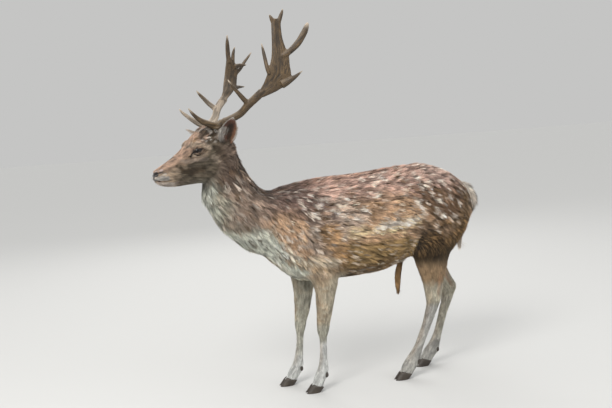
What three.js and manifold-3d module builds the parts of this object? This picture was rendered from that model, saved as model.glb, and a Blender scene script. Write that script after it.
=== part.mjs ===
// A fallow deer buck standing still, life size, as a museum model.
// Millimetres, +Z up. The deer faces -X and its left side is towards -Y; all feet stand on Z = 0.
// Body parts are lofts through named stations. They are joined, then parted by thin cuts.
import * as THREE from "three";
import Module from "manifold-3d";

const wasm = await Module();
wasm.setup();

// ---- driving dimensions ----
const GAP = 0.3; // clear space left between neighbouring pieces
const HEAD_AT = [-353.9, -30, 1000.7]; // the head's own origin, between jaw angle and nape
const HEAD_TURN = THREE.MathUtils.degToRad(18); // the head looks a little to the deer's left
const FOOT_Y = 75; // each foot's distance from the middle plane
const EYE = { at: [-128, 46, 66], radii: [20, 20, 20] };
const HOOF = { length: 62, width: 20, height: 36, heel: 22, apart: 20, slope: 0.8 };
const BURR = { at: [-35, 41, 153], radii: [24, 24, 7] };

const COAT = {
  flesh: 0x9a7c5c,
  pale: 0xcfc4ad,
  dark: 0x6b4f38,
  antler: 0x7d6650,
  horn: 0x3a332d,
  eye: 0x140e0a,
};

// Body stations: [top or back x, z, bottom or front x, z, centre y, half width, share of height at
// the widest, upper roundness, lower roundness]. A roundness of 2 is an ellipse and more is boxier.
const TRUNK = [
  [-238, 800, -250, 668, 0, 58, 0.5, 2, 2],
  [-205, 858, -214, 606, 0, 96, 0.48, 2, 2],
  [-150, 882, -150, 548, 0, 118, 0.47, 1.9, 2],
  [-80, 896, -80, 492, 0, 130, 0.46, 1.75, 2],
  [0, 909, 0, 472, 0, 138, 0.45, 1.65, 2.1],
  [90, 915, 90, 470, 0, 148, 0.45, 1.75, 2.2],
  [200, 918, 200, 473, 0, 158, 0.45, 1.9, 2.2],
  [310, 925, 310, 482, 0, 162, 0.46, 2, 2.1],
  [410, 933, 410, 514, 0, 156, 0.5, 2.1, 2],
  [490, 936, 490, 556, 0, 146, 0.52, 2.2, 2],
  [560, 929, 560, 590, 0, 143, 0.54, 2.2, 2],
  [630, 904, 630, 610, 0, 139, 0.55, 2.2, 2],
  [690, 864, 685, 630, 0, 120, 0.52, 2.2, 2],
  [730, 824, 724, 668, 0, 88, 0.5, 2.1, 2],
  [749, 784, 745, 715, 0, 46, 0.5, 2, 2],
];
const NECK = [
  [-40, 872, -120, 570, 0, 108, 0.5, 1.8, 2],
  [-150, 881, -262, 625, -1, 104, 0.5, 1.8, 2],
  [-188, 892, -325, 677, -4, 94, 0.5, 1.8, 2],
  [-215, 915, -378, 730, -9, 86, 0.5, 1.8, 2],
  [-240, 952, -408, 780, -15, 79, 0.5, 1.9, 2],
  [-262, 995, -436, 833, -21, 74, 0.5, 2, 2],
  [-280, 1040, -451, 868, -27, 71, 0.5, 2, 2],
  [-299, 1092, -446, 908, -32, 69, 0.52, 2, 2],
  [-325, 1126, -432, 946, -35, 58, 0.54, 2, 2],
];
const NECK_YAW = [0, 2, 5, 8, 11, 14, 16, 18, 18]; // degrees, one for each neck station

// Head stations in the head's own frame, from the nose back.
const HEAD = [
  [-307, -8, -304, -30, 0, 13, 0.5, 2, 2],
  [-300, 3, -298, -46, 0, 24, 0.55, 2.2, 2.2],
  [-282, 13, -277, -61, 0, 31, 0.5, 2.3, 2.2],
  [-248, 32, -237, -69, 0, 32, 0.48, 2.2, 2.1],
  [-210, 55, -193, -70, 0, 37, 0.52, 2.2, 1.9],
  [-180, 77, -154, -68, 0, 45, 0.58, 2.3, 1.8],
  [-150, 103, -116, -67, 0, 53, 0.64, 2.4, 1.8],
  [-116, 138, -74, -69, 0, 60, 0.62, 2.3, 2.1],
  [-74, 158, -32, -68, 0, 62, 0.58, 2.2, 2.3],
  [-28, 158, 10, -60, 0, 62, 0.55, 2.1, 2.3],
  [16, 140, 46, -42, 0, 56, 0.55, 2, 2],
  [46, 104, 60, -6, 0, 38, 0.5, 2, 2],
];

// Leg stations from the shoulder or hip down: [back x, z, front x, z, distance from the middle
// plane, half width].
const LEGS = {
  front_left: [
    [60, 790, -90, 775, 82, 26], [88, 700, -138, 672, 89, 45], [106, 610, -124, 578, 90, 47],
    [108, 540, -66, 524, 88, 44], [100, 487, -24, 480, 84, 37], [88, 440, -9, 440, 82, 32],
    [76, 392, -7, 392, 80, 28], [62, 334, -7, 334, 78, 24], [52, 298, -9, 298, 77, 23],
    [44, 262, -9, 262, 76, 22], [33, 230, -2, 230, 75, 15.5], [31, 178, -3, 180, 75, 13.5],
    [30, 130, -8, 136, 75, 15], [31, 92, -17, 102, 75, 18], [19, 58, -31, 72, 75, 22],
    [6, 36, -42, 46, 75, 25], [2, 22, -47, 30, 75, 23],
  ],
  front_right: [
    [50, 790, -100, 775, 82, 26], [76, 700, -148, 672, 89, 45], [86, 610, -140, 578, 90, 47],
    [74, 540, -96, 524, 88, 44], [50, 487, -74, 480, 84, 37], [31, 432, -66, 432, 82, 32],
    [18, 385, -65, 385, 80, 28], [2, 322, -67, 322, 78, 24], [-12, 287, -70, 287, 77, 23],
    [-21, 254, -70, 254, 76, 22], [-32, 220, -67, 220, 75, 15.5], [-38, 168, -72, 171, 75, 13.5],
    [-42, 120, -81, 128, 75, 15], [-43, 84, -93, 96, 75, 18], [-57, 52, -110, 66, 75, 22],
    [-71, 33, -122, 42, 75, 25], [-76, 20, -128, 28, 75, 23],
  ],
  hind_left: [
    [680, 825, 530, 840, 64, 34], [734, 752, 480, 770, 76, 56], [718, 690, 452, 694, 83, 61],
    [688, 635, 437, 622, 86, 60], [652, 590, 434, 566, 87, 56], [622, 548, 446, 520, 86, 49],
    [602, 502, 463, 474, 86, 42], [587, 452, 479, 424, 83, 34], [576, 402, 489, 374, 80, 27],
    [569, 364, 494, 337, 78, 23], [562, 334, 493, 312, 77, 22], [543, 287, 486, 286, 76, 19],
    [518, 233, 475, 247, 75, 15.5], [492, 179, 453, 195, 75, 14.5], [468, 128, 429, 144, 75, 15.5],
    [457, 90, 404, 110, 75, 18.5], [440, 54, 376, 76, 75, 22], [421, 34, 362, 50, 75, 25],
    [414, 20, 356, 32, 75, 23],
  ],
  hind_right: [
    [680, 825, 530, 840, 64, 34], [736, 752, 490, 770, 76, 56], [728, 690, 472, 694, 83, 61],
    [708, 635, 470, 620, 86, 60], [674, 590, 480, 562, 87, 56], [654, 546, 502, 514, 86, 49],
    [648, 500, 532, 470, 86, 42], [665, 450, 568, 420, 83, 34], [685, 405, 604, 376, 80, 27],
    [706, 364, 630, 337, 78, 23], [700, 334, 631, 310, 77, 22], [680, 287, 627, 284, 76, 19],
    [656, 235, 615, 247, 75, 15.5], [637, 180, 598, 192, 75, 14.5], [620, 128, 579, 140, 75, 15.5],
    [611, 90, 558, 106, 75, 18.5], [594, 54, 532, 74, 75, 22], [574, 34, 517, 48, 75, 25],
    [567, 20, 511, 30, 75, 23],
  ],
};
// The x of each foot's toe.
const HOOF_TIPS = { front_left: -76, front_right: -158, hind_left: 328, hind_right: 483 };
// Where each leg is parted from the trunk, then at the wrist or hock: x, z and slope in degrees.
const LEG_CUTS = {
  front: { top: [0, 466, 0], middle: [0, 244, 0] },
  hind: { top: [590, 632, 27], middle: [560, 322, 6] },
};
// Dewclaws stand behind the fetlocks, at x, z.
const DEWCLAWS = {
  front_left: [27, 71],
  front_right: [-48, 69],
  hind_left: [449, 70],
  hind_right: [602, 70],
  radii: [9, 7, 12],
  apart: 26,
};
const NECK_CUT = { at: [-217, 0, 762], towards: [-0.867, 0, 0.498] }; // where the neck leaves the trunk
// Cuts in the head's frame: from the neck, along the mouth, behind the chin and around the nose pad.
const HEAD_CUT = { at: [-16, 0, 4], towards: [-0.772, 0, 0.635] };
const JAW_CUT = { at: [-244, 0, -46], towards: [-0.15, 0, -1] };
const JAW_BACK = { at: [-165, 0, -60], towards: [-1, 0, 0.6] };
const NOSE_CUT = { at: [-293, 0, 0], towards: [-1, 0, -0.1] };
// Shapes added to the skull on each side: the brow, the antler's stalk and the nostril's hollow.
const BROW = { at: [-120, 44, 90], radii: [35, 20, 24] };
const STALK = [[-26, 34, 112, 22], [-36, 41, 151, 18]];
const NOSTRIL = { at: [-300, 17, -9], radii: [9, 7, 5] };
const TAIL = [
  [700, 858, 694, 815, 0, 24, 0.5, 2, 2],
  [746, 836, 724, 796, 0, 26, 0.5, 2, 2],
  [777, 796, 741, 776, 0, 27, 0.5, 2, 2],
  [786, 756, 746, 750, 0, 27, 0.5, 2, 2],
  [770, 710, 732, 710, 0, 26, 0.5, 2, 2],
  [742, 660, 708, 668, 0, 24, 0.5, 2, 2],
  [722, 612, 696, 622, 0, 18, 0.5, 2, 2],
  [708, 566, 694, 572, 0, 8, 0.5, 2, 2],
];
const SHEATH = [
  [440, 545, 396, 545, 0, 18, 0.5, 2, 2],
  [427, 510, 396, 506, 0, 16, 0.5, 2, 2],
  [415, 460, 386, 460, 0, 13, 0.5, 2, 2],
  [408, 415, 383, 415, 0, 10, 0.5, 2, 2],
  [401, 378, 389, 378, 0, 5, 0.5, 2, 2],
];

// Antler in the head's frame, right side; the left one is mirrored. Beam and tines: [x, y, z, radius].
const ANTLERS = {
  left: {
    beam: [
      [-37, 40, 146, 17], [-30, 43, 160, 17], [-8, 55, 174, 16.5], [22, 80, 188, 16],
      [52, 105, 208, 16], [70, 130, 234, 17], [94, 156, 261, 17], [116, 178, 286, 17],
    ],
    brow_tine: [
      [-30, 43, 162, 14], [-58, 47, 168, 14.5], [-90, 53, 179, 13], [-112, 58, 190, 11],
      [-130, 62, 203, 9], [-149, 66, 221, 6.5], [-164, 70, 240, 3],
    ],
    trez_tine: [
      [76, 136, 238, 12], [58, 134, 256, 11.5], [42, 135, 273, 10.5], [20, 135, 298, 8.5],
      [3, 130, 322, 6.5], [-8, 125, 343, 2.5],
    ],
    // Palm stations: front edge x, y, z, rear edge x, y, z, half thickness.
    palm: [
      [100, 158, 272, 118, 178, 262, 14], [110, 178, 300, 144, 202, 274, 13],
      [121, 196, 330, 186, 230, 298, 11], [130, 212, 366, 214, 248, 334, 9.5],
      [137, 218, 392, 213, 248, 378, 8.5], [144, 220, 418, 212, 246, 424, 8.5],
      [149, 220, 448, 203, 238, 456, 9], [153, 218, 490, 199, 228, 492, 9],
      [157, 214, 532, 198, 224, 532, 8.5], [160, 211, 570, 200, 222, 570, 8],
    ],
    points: {
      rear_spur: [[176, 232, 306, 17], [206, 247, 322, 13], [232, 262, 340, 8], [254, 274, 358, 2.5]],
      rear_finger: [
        [184, 236, 418, 12], [212, 246, 434, 13], [240, 250, 456, 14], [264, 254, 482, 14.5],
        [286, 255, 512, 14], [299, 255, 536, 10.5], [305, 255, 550, 5],
      ],
      front_tine: [
        [134, 214, 352, 9], [128, 210, 376, 9], [128, 200, 410, 8.5], [127, 190, 446, 7],
        [127, 180, 478, 2.5],
      ],
      top_front: [[168, 212, 556, 9], [162, 210, 574, 8], [158, 205, 588, 3]],
      top_rear: [[191, 220, 556, 10], [199, 223, 578, 8.5], [206, 224, 594, 6.5], [211, 225, 608, 3]],
    },
  },
  right: {
    beam: [
      [-37, 40, 146, 17], [-27, 41, 160, 17], [-1, 50, 182, 16.5], [22, 70, 202, 16],
      [38, 88, 221, 16], [57, 108, 241, 17], [80, 124, 259, 17], [104, 138, 277, 17],
    ],
    brow_tine: [
      [-30, 43, 160, 13], [-52, 45, 167, 12.5], [-72, 48, 178, 11.5], [-92, 51, 192, 10],
      [-113, 55, 209, 8.5], [-132, 59, 226, 6.5], [-144, 62, 243, 3],
    ],
    trez_tine: [
      [46, 98, 228, 12.5], [34, 104, 241, 12], [14, 108, 259, 10.5], [-10, 106, 282, 8.5],
      [-29, 103, 300, 6.5], [-43, 99, 316, 2.5],
    ],
    palm: [
      [86, 126, 268, 110, 140, 264, 14], [92, 140, 282, 134, 156, 282, 13],
      [106, 151, 305, 168, 174, 306, 12], [124, 171, 343, 203, 203, 337, 10],
      [142, 189, 384, 217, 216, 374, 8.5], [150, 193, 412, 226, 218, 404, 8.5],
      [156, 194, 436, 208, 206, 430, 9], [160, 194, 454, 198, 200, 450, 9],
    ],
    points: {
      rear_spur: [[186, 194, 322, 12], [214, 210, 328, 9], [238, 222, 329, 6], [262, 232, 330, 2.5]],
      rear_point: [[196, 200, 416, 11], [222, 205, 423, 10], [244, 206, 424, 8], [264, 207, 425, 3]],
      rear_finger: [
        [208, 214, 388, 10], [242, 226, 412, 9], [268, 236, 438, 8], [294, 244, 462, 6.5],
        [318, 250, 485, 3],
      ],
      top_front: [
        [172, 196, 434, 12], [168, 193, 478, 10.5], [166, 188, 515, 9], [165, 184, 538, 6],
        [165, 182, 556, 3],
      ],
      top_rear: [[192, 202, 428, 10], [198, 203, 468, 8.5], [204, 204, 488, 6.5], [210, 204, 506, 3]],
    },
  },
};

// Ear in its own frame: z runs from root to tip and the hollow faces +x. [z, half width, depth, thickness].
const EAR_SECTIONS = [
  [0, 18, 28, 23], [18, 27, 32, 15], [38, 34, 31, 8], [62, 37, 27, 6], [88, 34, 20, 5.5], [112, 25, 12, 5],
  [130, 13, 5.5, 4.5], [138, 4, 3, 3],
];
const EARS = {
  left: { root: [-12, -58, 88], tip: [1, -128, 190], hollow: [-0.2, -0.97, 0] },
  right: { root: [-6, 58, 94], tip: [-84, 140, 158], hollow: [-0.5, 0.4, -0.77] },
};

// ---- shape helpers ----
const V = (x, y, z) => new THREE.Vector3(x, y, z);
const rounded = (value, roundness) => Math.sign(value) * Math.abs(value) ** (2 / roundness);
const turns = (count) => Array.from({ length: count }, (_, i) => (2 * Math.PI * i) / count);

// Catmull-Rom interpolation of every column of a table, with `steps` rows for each gap.
function refine(rows, steps) {
  const row = (i) => rows[Math.max(0, Math.min(rows.length - 1, i))];
  const out = [];
  for (let i = 0; i < rows.length - 1; i++) {
    for (let s = 0; s < steps; s++) {
      const t = s / steps;
      out.push(row(i).map((b, c) => {
        const [a, d, e] = [row(i - 1)[c], row(i + 1)[c], row(i + 2)[c]];
        return b + 0.5 * t * (d - a + t * (2 * a - 5 * b + 4 * d - e + t * (3 * (b - d) + e - a)));
      }));
    }
  }
  out.push(rows.at(-1));
  return out;
}

// Points and faces as a solid whose faces point out.
function solid(points, faces) {
  let volume = 0;
  for (let i = 0; i < faces.length; i += 3) {
    const [a, b, c] = [points[faces[i]], points[faces[i + 1]], points[faces[i + 2]]];
    volume += a.dot(b.clone().cross(c));
  }
  if (volume < 0) faces.reverse();
  return new wasm.Manifold(new wasm.Mesh({
    numProp: 3,
    vertProperties: new Float32Array(points.flatMap((p) => [p.x, p.y, p.z])),
    triVerts: new Uint32Array(faces),
  }));
}

const middleOf = (ring) => ring.reduce((sum, p) => sum.add(p), V(0, 0, 0)).divideScalar(ring.length);

// A ring moved outwards, away from its neighbour.
function pushed(ring, neighbour, distance) {
  const step = middleOf(ring).sub(middleOf(neighbour)).setLength(distance);
  return ring.map((p) => p.clone().add(step));
}

// A closed solid through rings of equal count, with a fan at each end. The ends are lengthened by `grow`.
function loft(rings, grow = 0) {
  const around = rings[0].length;
  const ends = [pushed(rings[0], rings[1], grow), pushed(rings.at(-1), rings.at(-2), grow)];
  const points = [ends[0], ...rings.slice(1, -1), ends[1]].flat();
  const first = points.push(middleOf(ends[0])) - 1;
  const last = points.push(middleOf(ends[1])) - 1;
  const end = (rings.length - 1) * around;
  const faces = [];
  for (let i = 0; i < around; i++) {
    const j = (i + 1) % around;
    faces.push(first, j, i, last, end + i, end + j);
    for (let r = 0; r < end; r += around) {
      faces.push(r + i, r + j, r + j + around, r + i, r + j + around, r + i + around);
    }
  }
  return solid(points, faces);
}

// One cross-section spanning a back and a front point; `side` is its sideways unit vector.
function section(back, front, side, half, around, [widest, upper, lower], grow = 0) {
  const rise = back.clone().sub(front);
  const height = rise.length();
  rise.divideScalar(height);
  const centre = front.clone().addScaledVector(rise, height * widest);
  return turns(around).map((angle) => {
    const [c, s] = [Math.cos(angle), Math.sin(angle)];
    const roundness = s > 0 ? upper : lower;
    const reach = height * (s > 0 ? 1 - widest : widest) + grow;
    return centre.clone()
      .addScaledVector(side, (half + grow) * rounded(c, roundness))
      .addScaledVector(rise, reach * rounded(s, roundness));
  });
}

// A loft through body stations; `yaws` turns each station about its own plumb line.
function bodyLoft(rows, around, steps, { yaws, grow = 0 } = {}) {
  const table = refine(rows.map((row, i) => [...row, yaws ? yaws[i] : 0]), steps);
  return loft(table.map(([ax, az, bx, bz, y, half, widest, upper, lower, yaw]) => {
    const turn = THREE.MathUtils.degToRad(yaw);
    const middle = (ax + bx) / 2;
    const at = (x, z) => V(middle + (x - middle) * Math.cos(turn), y + (x - middle) * Math.sin(turn), z);
    const side = V(-Math.sin(turn), Math.cos(turn), 0);
    return section(at(ax, az), at(bx, bz), side, half, around, [widest, upper, lower], grow);
  }), grow);
}

function legLoft(rows, side, grow = 0) {
  return loft(rows.map(([ax, az, bx, bz, out, half]) => {
    const [back, front] = [V(ax, side * out, az), V(bx, side * out, bz)];
    return section(back, front, V(0, 1, 0), half, 10, [0.5, 2.1, 2.1], grow);
  }), grow);
}

// The unit vector along a row of points at index i.
const heading = (points, i) =>
  points[Math.min(i + 1, points.length - 1)].clone().sub(points[Math.max(i - 1, 0)]).normalize();

// A round tapering horn along a path of [x, y, z, radius].
function horn(path, around, grow = 0) {
  const centres = path.map(([x, y, z]) => V(x, y, z));
  const side = V(0, 1, 0);
  return loft(path.map(([, , , radius], i) => {
    const along = heading(centres, i);
    side.addScaledVector(along, -side.dot(along)).normalize();
    const other = along.clone().cross(side);
    return turns(around).map((angle) => centres[i].clone()
      .addScaledVector(side, (radius + grow) * Math.cos(angle))
      .addScaledVector(other, (radius + grow) * Math.sin(angle)));
  }), grow);
}

// The flat blade of an antler, between its front and rear edges.
function blade(rows, grow = 0) {
  const centres = rows.map(([ax, ay, az, bx, by, bz]) => V(ax + bx, ay + by, az + bz).divideScalar(2));
  return loft(rows.map(([ax, ay, az, bx, by, bz, half], i) => {
    const [front, rear] = [V(ax, ay, az), V(bx, by, bz)];
    const side = heading(centres, i).cross(front.clone().sub(rear)).normalize();
    return section(front, rear, side, half, 8, [0.5, 2.4, 2.4], grow);
  }), grow);
}

function ellipsoid({ at, radii, side = 1, grow = 0 }, around) {
  const levels = Math.round(around / 2);
  const centre = V(at[0], side * at[1], at[2]);
  const size = V(radii[0] + grow, radii[1] + grow, radii[2] + grow);
  return loft(Array.from({ length: levels }, (_, k) => {
    const tilt = Math.PI * ((k + 0.5) / levels - 0.5);
    return turns(around).map((angle) =>
      V(Math.cos(tilt) * Math.cos(angle), Math.cos(tilt) * Math.sin(angle), Math.sin(tilt))
        .multiply(size)
        .add(centre));
  }));
}

// A cup with a crescent section, closing to a stalk at its root. Grown, it is the filled room
// around that cup.
function earLoft({ root, tip, hollow }, grow = 0) {
  const [from, to] = [V(...root), V(...tip)];
  const along = to.clone().sub(from).normalize();
  const open = V(...hollow);
  open.addScaledVector(along, -open.dot(along)).normalize();
  const across = along.clone().cross(open);
  const scale = from.distanceTo(to) / EAR_SECTIONS.at(-1)[0];
  const steps = Array.from({ length: 7 }, (_, i) => (Math.PI / 2) * (i / 3 - 1));
  return loft(EAR_SECTIONS.map(([z, width, depth, thick]) => {
    const foot = from.clone().addScaledVector(along, z * scale);
    const wall = (wide, deep, lift) => steps.map((angle) => foot.clone()
      .addScaledVector(across, wide * Math.sin(angle))
      .addScaledVector(open, depth / 2 + lift - deep * Math.cos(angle)));
    const outer = wall(width + grow, depth + grow, -grow);
    const hollow = wall(width - 0.35 * thick, depth - thick, 0.6);
    const inner = grow ? wall(width + grow, -0.4 * depth, 1) : hollow;
    return [...outer, ...inner.reverse()];
  }), grow);
}

// One claw of a foot. The toe and heel slope back alike and the inner side is nearly flat.
function hoof(toe, y, side, grow = 0) {
  return loft([0, 0.2, 0.6, 1].map((share) => turns(10).map((angle) => {
    const [c, s] = [Math.cos(angle), side * Math.sin(angle)];
    const t = (1 + rounded(c, 2.3)) / 2; // 0 at the toe and 1 at the heel
    const z = share * (HOOF.height + (HOOF.heel - HOOF.height) * t);
    const wide = HOOF.width * (s * side > 0 ? 0.72 : 0.28) * (1 - 0.35 * Math.max(0, -c) ** 3);
    return V(
      toe + HOOF.slope * z + HOOF.length * t + grow * c,
      y + rounded(s, 2.4) * (wide + grow),
      share > 0 ? z + grow * share : -grow,
    );
  })));
}

// Everything beyond a plane, as a huge block. The plane is moved on by `offset`.
function beyond({ at, towards }, offset = 0) {
  const size = 4000;
  const box = new THREE.BoxGeometry(size, size, size).toNonIndexed();
  box.translate(0, 0, size / 2 + offset);
  const turn = new THREE.Quaternion().setFromUnitVectors(V(0, 0, 1), V(...towards).normalize());
  box.applyQuaternion(turn);
  box.translate(...at);
  const corner = box.getAttribute("position");
  const points = [];
  const known = new Map();
  const faces = Array.from({ length: corner.count }, (_, i) => {
    const p = V(corner.getX(i), corner.getY(i), corner.getZ(i));
    const key = p.toArray().map(Math.round).join();
    if (!known.has(key)) known.set(key, points.push(p) - 1);
    return known.get(key);
  });
  return solid(points, faces);
}

// The two sides of a plane cut, with the gap between them: [before, beyond].
const parted = (shape, plane) => [shape.subtract(beyond(plane)), shape.intersect(beyond(plane, GAP))];

// A plane across the body through (x, z), level or rising towards the tail, facing up.
function rising([x, z, slope]) {
  const angle = THREE.MathUtils.degToRad(slope);
  return { at: [x, 0, z], towards: [-Math.sin(angle), 0, Math.cos(angle)] };
}

// ---- pieces ----
const deer = new THREE.Group();
deer.name = "fallow_deer";

function add(name, shape, color) {
  const whole = shape.decompose().sort((a, b) => b.volume() - a.volume())[0];
  const { vertProperties, triVerts } = whole.getMesh();
  const geometry = new THREE.BufferGeometry();
  geometry.setAttribute("position", new THREE.BufferAttribute(vertProperties, 3));
  geometry.setIndex(new THREE.BufferAttribute(triVerts, 1));
  geometry.computeVertexNormals();
  const mesh = new THREE.Mesh(geometry, new THREE.MeshStandardMaterial({ color, roughness: 0.85 }));
  mesh.name = name;
  deer.add(mesh);
}

const headPlace = new THREE.Matrix4().makeRotationZ(HEAD_TURN).setPosition(...HEAD_AT);
const onHead = (shape) => shape.transform(headPlace.elements);
const sideOf = (name) => (name.endsWith("left") ? -1 : 1); // the deer's left is towards -Y
const mirrored = (shape, side) => shape.transform(new THREE.Matrix4().makeScale(1, side, 1).elements);

// Legs: parted from the trunk and again at the wrist or hock, with two claws and two dewclaws to a foot.
let body = bodyLoft(TRUNK, 16, 1).add(bodyLoft(NECK, 14, 1, { yaws: NECK_YAW }));
const sockets = [];
for (const [name, rows] of Object.entries(LEGS)) {
  const side = sideOf(name);
  const cuts = LEG_CUTS[name.split("_")[0]];
  const whole = legLoft(rows, side);
  body = body.add(whole);
  sockets.push(legLoft(rows, side, GAP).subtract(beyond(rising(cuts.top), GAP)));
  const [below] = parted(whole, rising(cuts.top));
  let [lower, upper] = parted(below, rising(cuts.middle));
  for (const [place, out] of [["outer", 1], ["inner", -1]]) {
    const y = side * (FOOT_Y + (out * HOOF.apart) / 2);
    add(`hoof_${name}_${place}`, hoof(HOOF_TIPS[name], y, side * out), COAT.horn);
    lower = lower.subtract(hoof(HOOF_TIPS[name], y, side * out, GAP));
    const [x, z] = DEWCLAWS[name];
    const claw = { at: [x, FOOT_Y + (out * DEWCLAWS.apart) / 2, z], radii: DEWCLAWS.radii, side };
    add(`dewclaw_${name}_${place}`, ellipsoid(claw, 6), COAT.horn);
    lower = lower.subtract(ellipsoid({ ...claw, grow: GAP }, 6));
  }
  add(`upper_leg_${name}`, upper, COAT.flesh);
  add(`lower_leg_${name}`, lower, COAT.pale);
}
sockets.forEach((socket) => {
  body = body.subtract(socket);
});

// Tail and brush hang from sockets in the trunk.
for (const [name, rows, around] of [["tail", TAIL, 12], ["sheath", SHEATH, 10]]) {
  add(name, bodyLoft(rows, around, 1), COAT.dark);
  body = body.subtract(bodyLoft(rows, around, 1, { grow: GAP }));
}

// Head: skull, brows and antler stalks in one; ears, eyes and antlers sit in sockets cut from it.
let skull = bodyLoft(HEAD, 18, 1);
for (const side of [-1, 1]) {
  skull = skull
    .add(ellipsoid({ ...BROW, side }, 10))
    .add(mirrored(horn(STALK, 8), side))
    .subtract(ellipsoid({ ...NOSTRIL, side }, 6));
}
body = body.add(onHead(skull));
for (const name of ["left", "right"]) {
  const side = sideOf(name);
  add(`eye_${name}`, onHead(ellipsoid({ ...EYE, side }, 10)), COAT.eye);
  add(`ear_${name}`, onHead(earLoft(EARS[name])), COAT.flesh);
  body = body.subtract(onHead(ellipsoid({ ...EYE, side, grow: GAP }, 10)));
  body = body.subtract(onHead(earLoft(EARS[name], GAP)));
}

// Antlers: beam and palm parted at the palm's foot; each tine is cut to the piece it grows from.
for (const [name, spec] of Object.entries(ANTLERS)) {
  const place = (shape) => onHead(mirrored(shape, sideOf(name)));
  const stem = (grow) => horn(spec.beam, 8, grow)
    .add(ellipsoid({ ...BURR, grow }, 10))
    .add(blade(spec.palm, grow));
  const [end, before] = [spec.beam.at(-1), spec.beam.at(-3)];
  const fork = { at: end.slice(0, 3), towards: end.slice(0, 3).map((v, i) => v - before[i]) };
  const [beam, palm] = parted(stem(0), fork);
  const room = stem(GAP);
  add(`antler_${name}_beam`, place(beam), COAT.antler);
  add(`antler_${name}_palm`, place(palm), COAT.antler);
  const tines = { brow_tine: spec.brow_tine, trez_tine: spec.trez_tine, ...spec.points };
  for (const [tine, path] of Object.entries(tines)) {
    add(`antler_${name}_${tine}`, place(horn(path, 7).subtract(room)), COAT.antler);
  }
  body = body.subtract(place(room));
}

// The head, neck and trunk are parted by planes, then the nose pad and the lower jaw from the head.
const onHeadPlane = ({ at, towards }) => ({
  at: V(...at).applyMatrix4(headPlace).toArray(),
  towards: V(...towards).applyAxisAngle(V(0, 0, 1), HEAD_TURN).toArray(),
});
const [throat, whole] = parted(body, onHeadPlane(HEAD_CUT));
const [trunk, neck] = parted(throat, NECK_CUT);
const [face, nose] = parted(whole, onHeadPlane(NOSE_CUT));
const jawRoom = (offset) =>
  beyond(onHeadPlane(JAW_CUT), offset).intersect(beyond(onHeadPlane(JAW_BACK), offset));
add("trunk", trunk, COAT.flesh);
add("neck", neck, COAT.flesh);
add("head", face.subtract(jawRoom(0)), COAT.flesh);
add("lower_jaw", face.intersect(jawRoom(GAP)), COAT.pale);
add("nose_pad", nose, COAT.horn);

// The origin is under the middle of the whole model.
const middle = new THREE.Box3().setFromObject(deer).getCenter(V(0, 0, 0));
deer.children.forEach((mesh) => mesh.geometry.translate(-middle.x, -middle.y, 0));

export default deer;
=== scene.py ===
import bmesh
import bpy
import numpy as np
from mathutils import Matrix, Vector


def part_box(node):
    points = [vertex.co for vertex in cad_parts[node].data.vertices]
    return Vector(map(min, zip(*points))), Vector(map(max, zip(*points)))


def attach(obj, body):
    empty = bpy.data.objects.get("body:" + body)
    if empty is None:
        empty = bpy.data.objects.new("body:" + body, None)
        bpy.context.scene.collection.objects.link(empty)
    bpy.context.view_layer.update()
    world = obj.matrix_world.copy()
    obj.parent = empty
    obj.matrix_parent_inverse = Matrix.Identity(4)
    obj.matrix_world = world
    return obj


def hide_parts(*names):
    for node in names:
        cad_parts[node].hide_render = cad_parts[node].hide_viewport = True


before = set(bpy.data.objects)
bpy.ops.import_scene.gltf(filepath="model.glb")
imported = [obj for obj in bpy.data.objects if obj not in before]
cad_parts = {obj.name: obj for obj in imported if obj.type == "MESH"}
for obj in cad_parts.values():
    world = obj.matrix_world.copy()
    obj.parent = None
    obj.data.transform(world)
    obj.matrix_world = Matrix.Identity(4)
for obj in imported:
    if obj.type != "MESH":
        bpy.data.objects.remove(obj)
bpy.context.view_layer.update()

rng = np.random.default_rng(11)

# A fallow deer buck in its ragged spring coat. Shapes are worked out in millimetres in the deer's
# own frame, head towards -X and left side towards -Y, and moved into the part's frame at the end.

HEAD_AT = np.array([-353.9, -30, 1000.7])
HEAD_TURN = np.radians(18)
FOOT_Y = 75
HIND_FROM = 250  # X beyond which a leg is a hind leg
EYE_AT, EYE_RADIUS = [-128, 46, 66], 20
HOOF = {"length": 62, "width": 20, "height": 36, "heel": 22, "apart": 20, "slope": 0.8}
BURR = {"at": [-35, 41, 153], "radii": [24, 24, 7]}

# Body stations: [top or back x, z, bottom or front x, z, centre y, half width, share of height at
# the widest, upper roundness, lower roundness]. A roundness of 2 is an ellipse and more is boxier.
TRUNK = [
    [-238, 800, -250, 668, 0, 58, 0.5, 2, 2],
    [-205, 858, -214, 606, 0, 96, 0.48, 2, 2],
    [-150, 882, -150, 548, 0, 118, 0.47, 1.9, 2],
    [-80, 896, -80, 492, 0, 130, 0.46, 1.75, 2],
    [0, 909, 0, 472, 0, 138, 0.45, 1.65, 2.1],
    [90, 915, 90, 470, 0, 148, 0.45, 1.75, 2.2],
    [200, 918, 200, 473, 0, 158, 0.45, 1.9, 2.2],
    [310, 925, 310, 482, 0, 162, 0.46, 2, 2.1],
    [410, 933, 410, 514, 0, 156, 0.5, 2.1, 2],
    [490, 936, 490, 556, 0, 146, 0.52, 2.2, 2],
    [560, 929, 560, 590, 0, 143, 0.54, 2.2, 2],
    [630, 904, 630, 610, 0, 139, 0.55, 2.2, 2],
    [690, 864, 685, 630, 0, 120, 0.52, 2.2, 2],
    [730, 824, 724, 668, 0, 88, 0.5, 2.1, 2],
    [749, 784, 745, 715, 0, 46, 0.5, 2, 2],
]
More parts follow.
